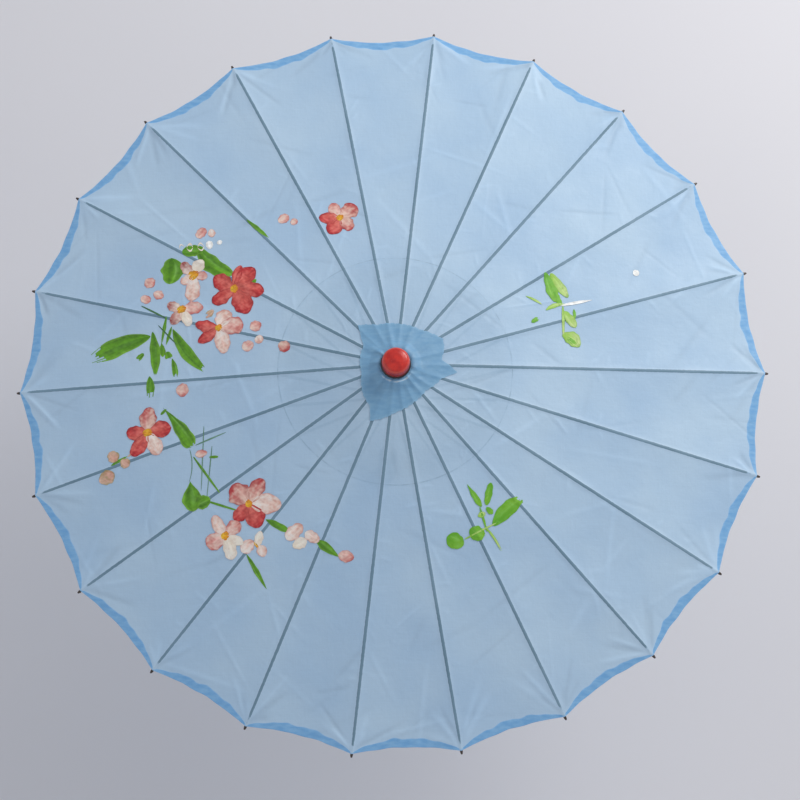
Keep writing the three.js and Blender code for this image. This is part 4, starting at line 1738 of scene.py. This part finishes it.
    def build(self) -> list[bpy.types.Object]:
        """Every rib, stretcher and length of thread.

        Returns:
            The pieces.
        """
        random = np.random.default_rng(self.seed)
        bamboo, cotton = SplitBamboo().make(), CottonThread().make()
        link, made = self.link, []
        for index in range(link.count):
            number = f"{index + 1:02d}"
            ahead, side, pin = link.ahead(index), link.across(index), link.pin(index)
            nodes = np.array(self.rib_nodes, float) + random.uniform(-22, 22, len(self.rib_nodes))
            bar = self.sweep(pin, ahead, side, self.rib, nodes, self.stained_from)
            middle = pin + ahead * link.joint_along - np.cross(ahead, side) * self.cheek_below
            near, far = self.cheek_span
            rib = build(f"bamboo_rib_{number}", [
                bar, self.cheek(middle, ahead, side, near, far),
                self.cheek(middle, ahead, side, -far, -near)], bamboo)
            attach(rib, f"rib_{number}")
            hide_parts(f"rib_{number}")
            joint = link.elbow(index)
            low = link.at(index, link.runner_r, link.runner_z)
            inward = (low - joint) / np.linalg.norm(low - joint)
            shift = random.uniform(-14, 14, len(self.stretcher_nodes))
            arm = build(f"bamboo_stretcher_{number}", [
                self.sweep(joint, inward, side, self.stretcher,
                           np.array(self.stretcher_nodes, float) + shift)], bamboo)
            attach(arm, f"stretcher_{number}")
            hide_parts(f"stretcher_{number}")
            thread = build(f"elbow_thread_{number}", self.thread(index), cotton, None)
            link.fold(thread, index, joint, self.keep)
            made += [rib, arm, thread]
        return made


@dataclass
class ShaftAndFittings:
    """The shaft, grip, cap, hub, runner, their wires and the sprung catch."""

    link: Linkage = LINK
    grip: tuple[tuple[float, float], ...] = (
        (0, 0), (10.4, 0), (11.6, 1.2), (12.8, 9), (12.6, 20), (10.6, 48), (10.4, 66),
        (11.8, 88), (12, 95), (11, 101), (8.6, 105), (5.8, 105), (5.8, 12.3), (0, 12.3))
    cap: tuple[tuple[float, float], ...] = (
        (0, 530.3), (5.8, 530.3), (5.8, 521.6), (15.8, 521.6), (16.4, 522.1), (16.2, 523.0),
        (14.9, 523.7), (14.3, 524.6), (14.7, 525.6), (14.9, 532.8), (14.2, 535.9), (11.8, 538.2),
        (7, 539.6), (0, 540))

    def wire(self, radius: float, height: float) -> Surface:
        """A ring of round wire: a circle of half a millimetre carried round the shaft."""
        a = np.arange(16) * 2 * math.pi / 16
        return revolve(list(zip(radius + 0.5 * np.cos(a), height + 0.5 * np.sin(a))), 120, True)

    def build(self) -> list[bpy.types.Object]:
        """All of them, the plain ones as they stand in the frame with a finish of their own.

        Returns:
            The new pieces.
        """
        steel = PlainWire().make()
        plain = {"shaft": TurnedWood(WoodTone.CANE), "top_hub": TurnedWood(WoodTone.BLOCK),
                 "runner": TurnedWood(WoodTone.BLOCK)}
        for node, finish in plain.items():
            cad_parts[node].data.materials.clear()
            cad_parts[node].data.materials.append(finish.make())
        for node in ("catch_leaf", "catch_pin"):
            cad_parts[node].data.materials.clear()
            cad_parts[node].data.materials.append(steel)
        grip = build("turned_grip", [revolve(rounded(list(self.grip), 4.0, 7), 80)],
                     TurnedWood(WoodTone.GRIP).make(), 50)
        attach(grip, "shaft")
        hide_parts("handle_grip")
        dome = revolve(rounded(list(self.cap), 1.1, 6), 96)
        height = dome.points[..., 2] / MM
        radius = np.hypot(dome.points[..., 0], dome.points[..., 1]) / MM
        # Painted shade: the foot below 524 mm made nearly black.
        dome.zones[..., 0] = 1 - smooth_step(523.6, 524.6, height)
        # Painted highlight: a pale ring round the top edge.
        dome.zones[..., 1] = np.exp(-((radius - 13.6) / 0.9) ** 2) * (height > 534)
        cap = build("red_cap", [dome], MouldedCap().make(), 50)
        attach(cap, "shaft")
        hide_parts("finial")
        upper = build("hub_ring", [self.wire(14.0, 516.0)], steel)
        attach(upper, "shaft")
        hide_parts("top_hub_wire")
        lower = build("runner_ring", [self.wire(13.0, self.link.runner_z / MM)], steel)
        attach(lower, "runner")
        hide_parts("runner_wire")
        return [grip, cap, upper, lower]


# ------------------------------------------------------------------ studio


@dataclass(frozen=True)
class SoftLamp:
    """A square area light: its power in watts, its side and its place in metres, its colour."""

    name: str
    power: float
    size: float
    place: tuple[float, float, float]
    tint: Colour

    def hang(self, aim: tuple[float, float, float]) -> None:
        """Puts the light into the scene.

        Args:
            aim: what it faces.
        """
        light = bpy.data.lights.new(self.name, "AREA")
        light.energy, light.size, light.color = self.power, self.size, self.tint
        lamp = bpy.data.objects.new(self.name, light)
        lamp.location = self.place
        lamp.rotation_euler = (Vector(aim) - Vector(self.place)).to_track_quat("-Z", "Y").to_euler()
        bpy.context.scene.collection.objects.link(lamp)


@dataclass
class Studio:
    """Pale floor and sky, soft lights, and a long-lens camera a little to the near side of above."""

    lens: float = 122.2
    stand: tuple[float, float, float] = (-0.0595, -0.7481, 3.3014)
    right: tuple[float, float, float] = (0.99973, 0.0, 0.02304)
    up: tuple[float, float, float] = (-0.0057, 0.9690, 0.2469)
    middle: tuple[float, float, float] = (0.0, 0.0, 0.45)
    air: Colour = screen(236, 240, 248)
    air_strength: float = 0.54
    floor_reach: float = 6.0
    lamps: tuple[SoftLamp, ...] = (
        SoftLamp("key", 34.0, 1.1, (1.45, 1.45, 1.75), (1.0, 0.985, 0.96)),
        SoftLamp("fill", 5.0, 2.4, (-2.2, -0.8, 2.2), (0.94, 0.97, 1.0)))

    def build(self) -> None:
        """Floor, world, lights and camera."""
        scene = bpy.context.scene
        side = np.linspace(-self.floor_reach, self.floor_reach, 9)
        x, y = np.meshgrid(side, side, indexing="ij")
        floor = build("studio_floor", [Surface.grid(np.stack([x, y, 0 * x], -1))],
                      PaleFloor().make(), None)
        world = bpy.data.worlds.new("studio_air")
        world.use_nodes = True
        shade = world.node_tree.nodes["Background"]
        shade.inputs[0].default_value = (*self.air, 1.0)
        shade.inputs[1].default_value = self.air_strength
        scene.world = world
        scene.view_settings.view_transform = "Standard"
        for lamp in self.lamps:
            lamp.hang(self.middle)
        camera = bpy.data.objects.new("camera", bpy.data.cameras.new("camera"))
        camera.data.lens, camera.data.sensor_width = self.lens, 36.0
        right, up = Vector(self.right).normalized(), Vector(self.up).normalized()
        back = right.cross(up).normalized()
        up = back.cross(right)
        turn = Matrix((right, up, back)).transposed().to_4x4()
        camera.matrix_world = Matrix.Translation(self.stand) @ turn
        scene.collection.objects.link(camera)
        scene.camera = camera


def main() -> None:
    """Builds the sub-assemblies in order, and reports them."""
    logging.basicConfig(level=logging.INFO, format="%(name)s: %(message)s")
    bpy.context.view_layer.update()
    cloth = StretchedCloth()
    assemblies = (ShaftAndFittings(), BambooFrame(), Canopy(cloth), CollarPatch(cloth),
                  PaintedFlowers(cloth))
    for assembly in assemblies:
        for piece in assembly.build():
            LOG.info("%s: %s, %d faces", type(assembly).__name__, piece.name,
                     len(piece.data.polygons))
    Studio().build()


if __name__ == "__main__":
    main()
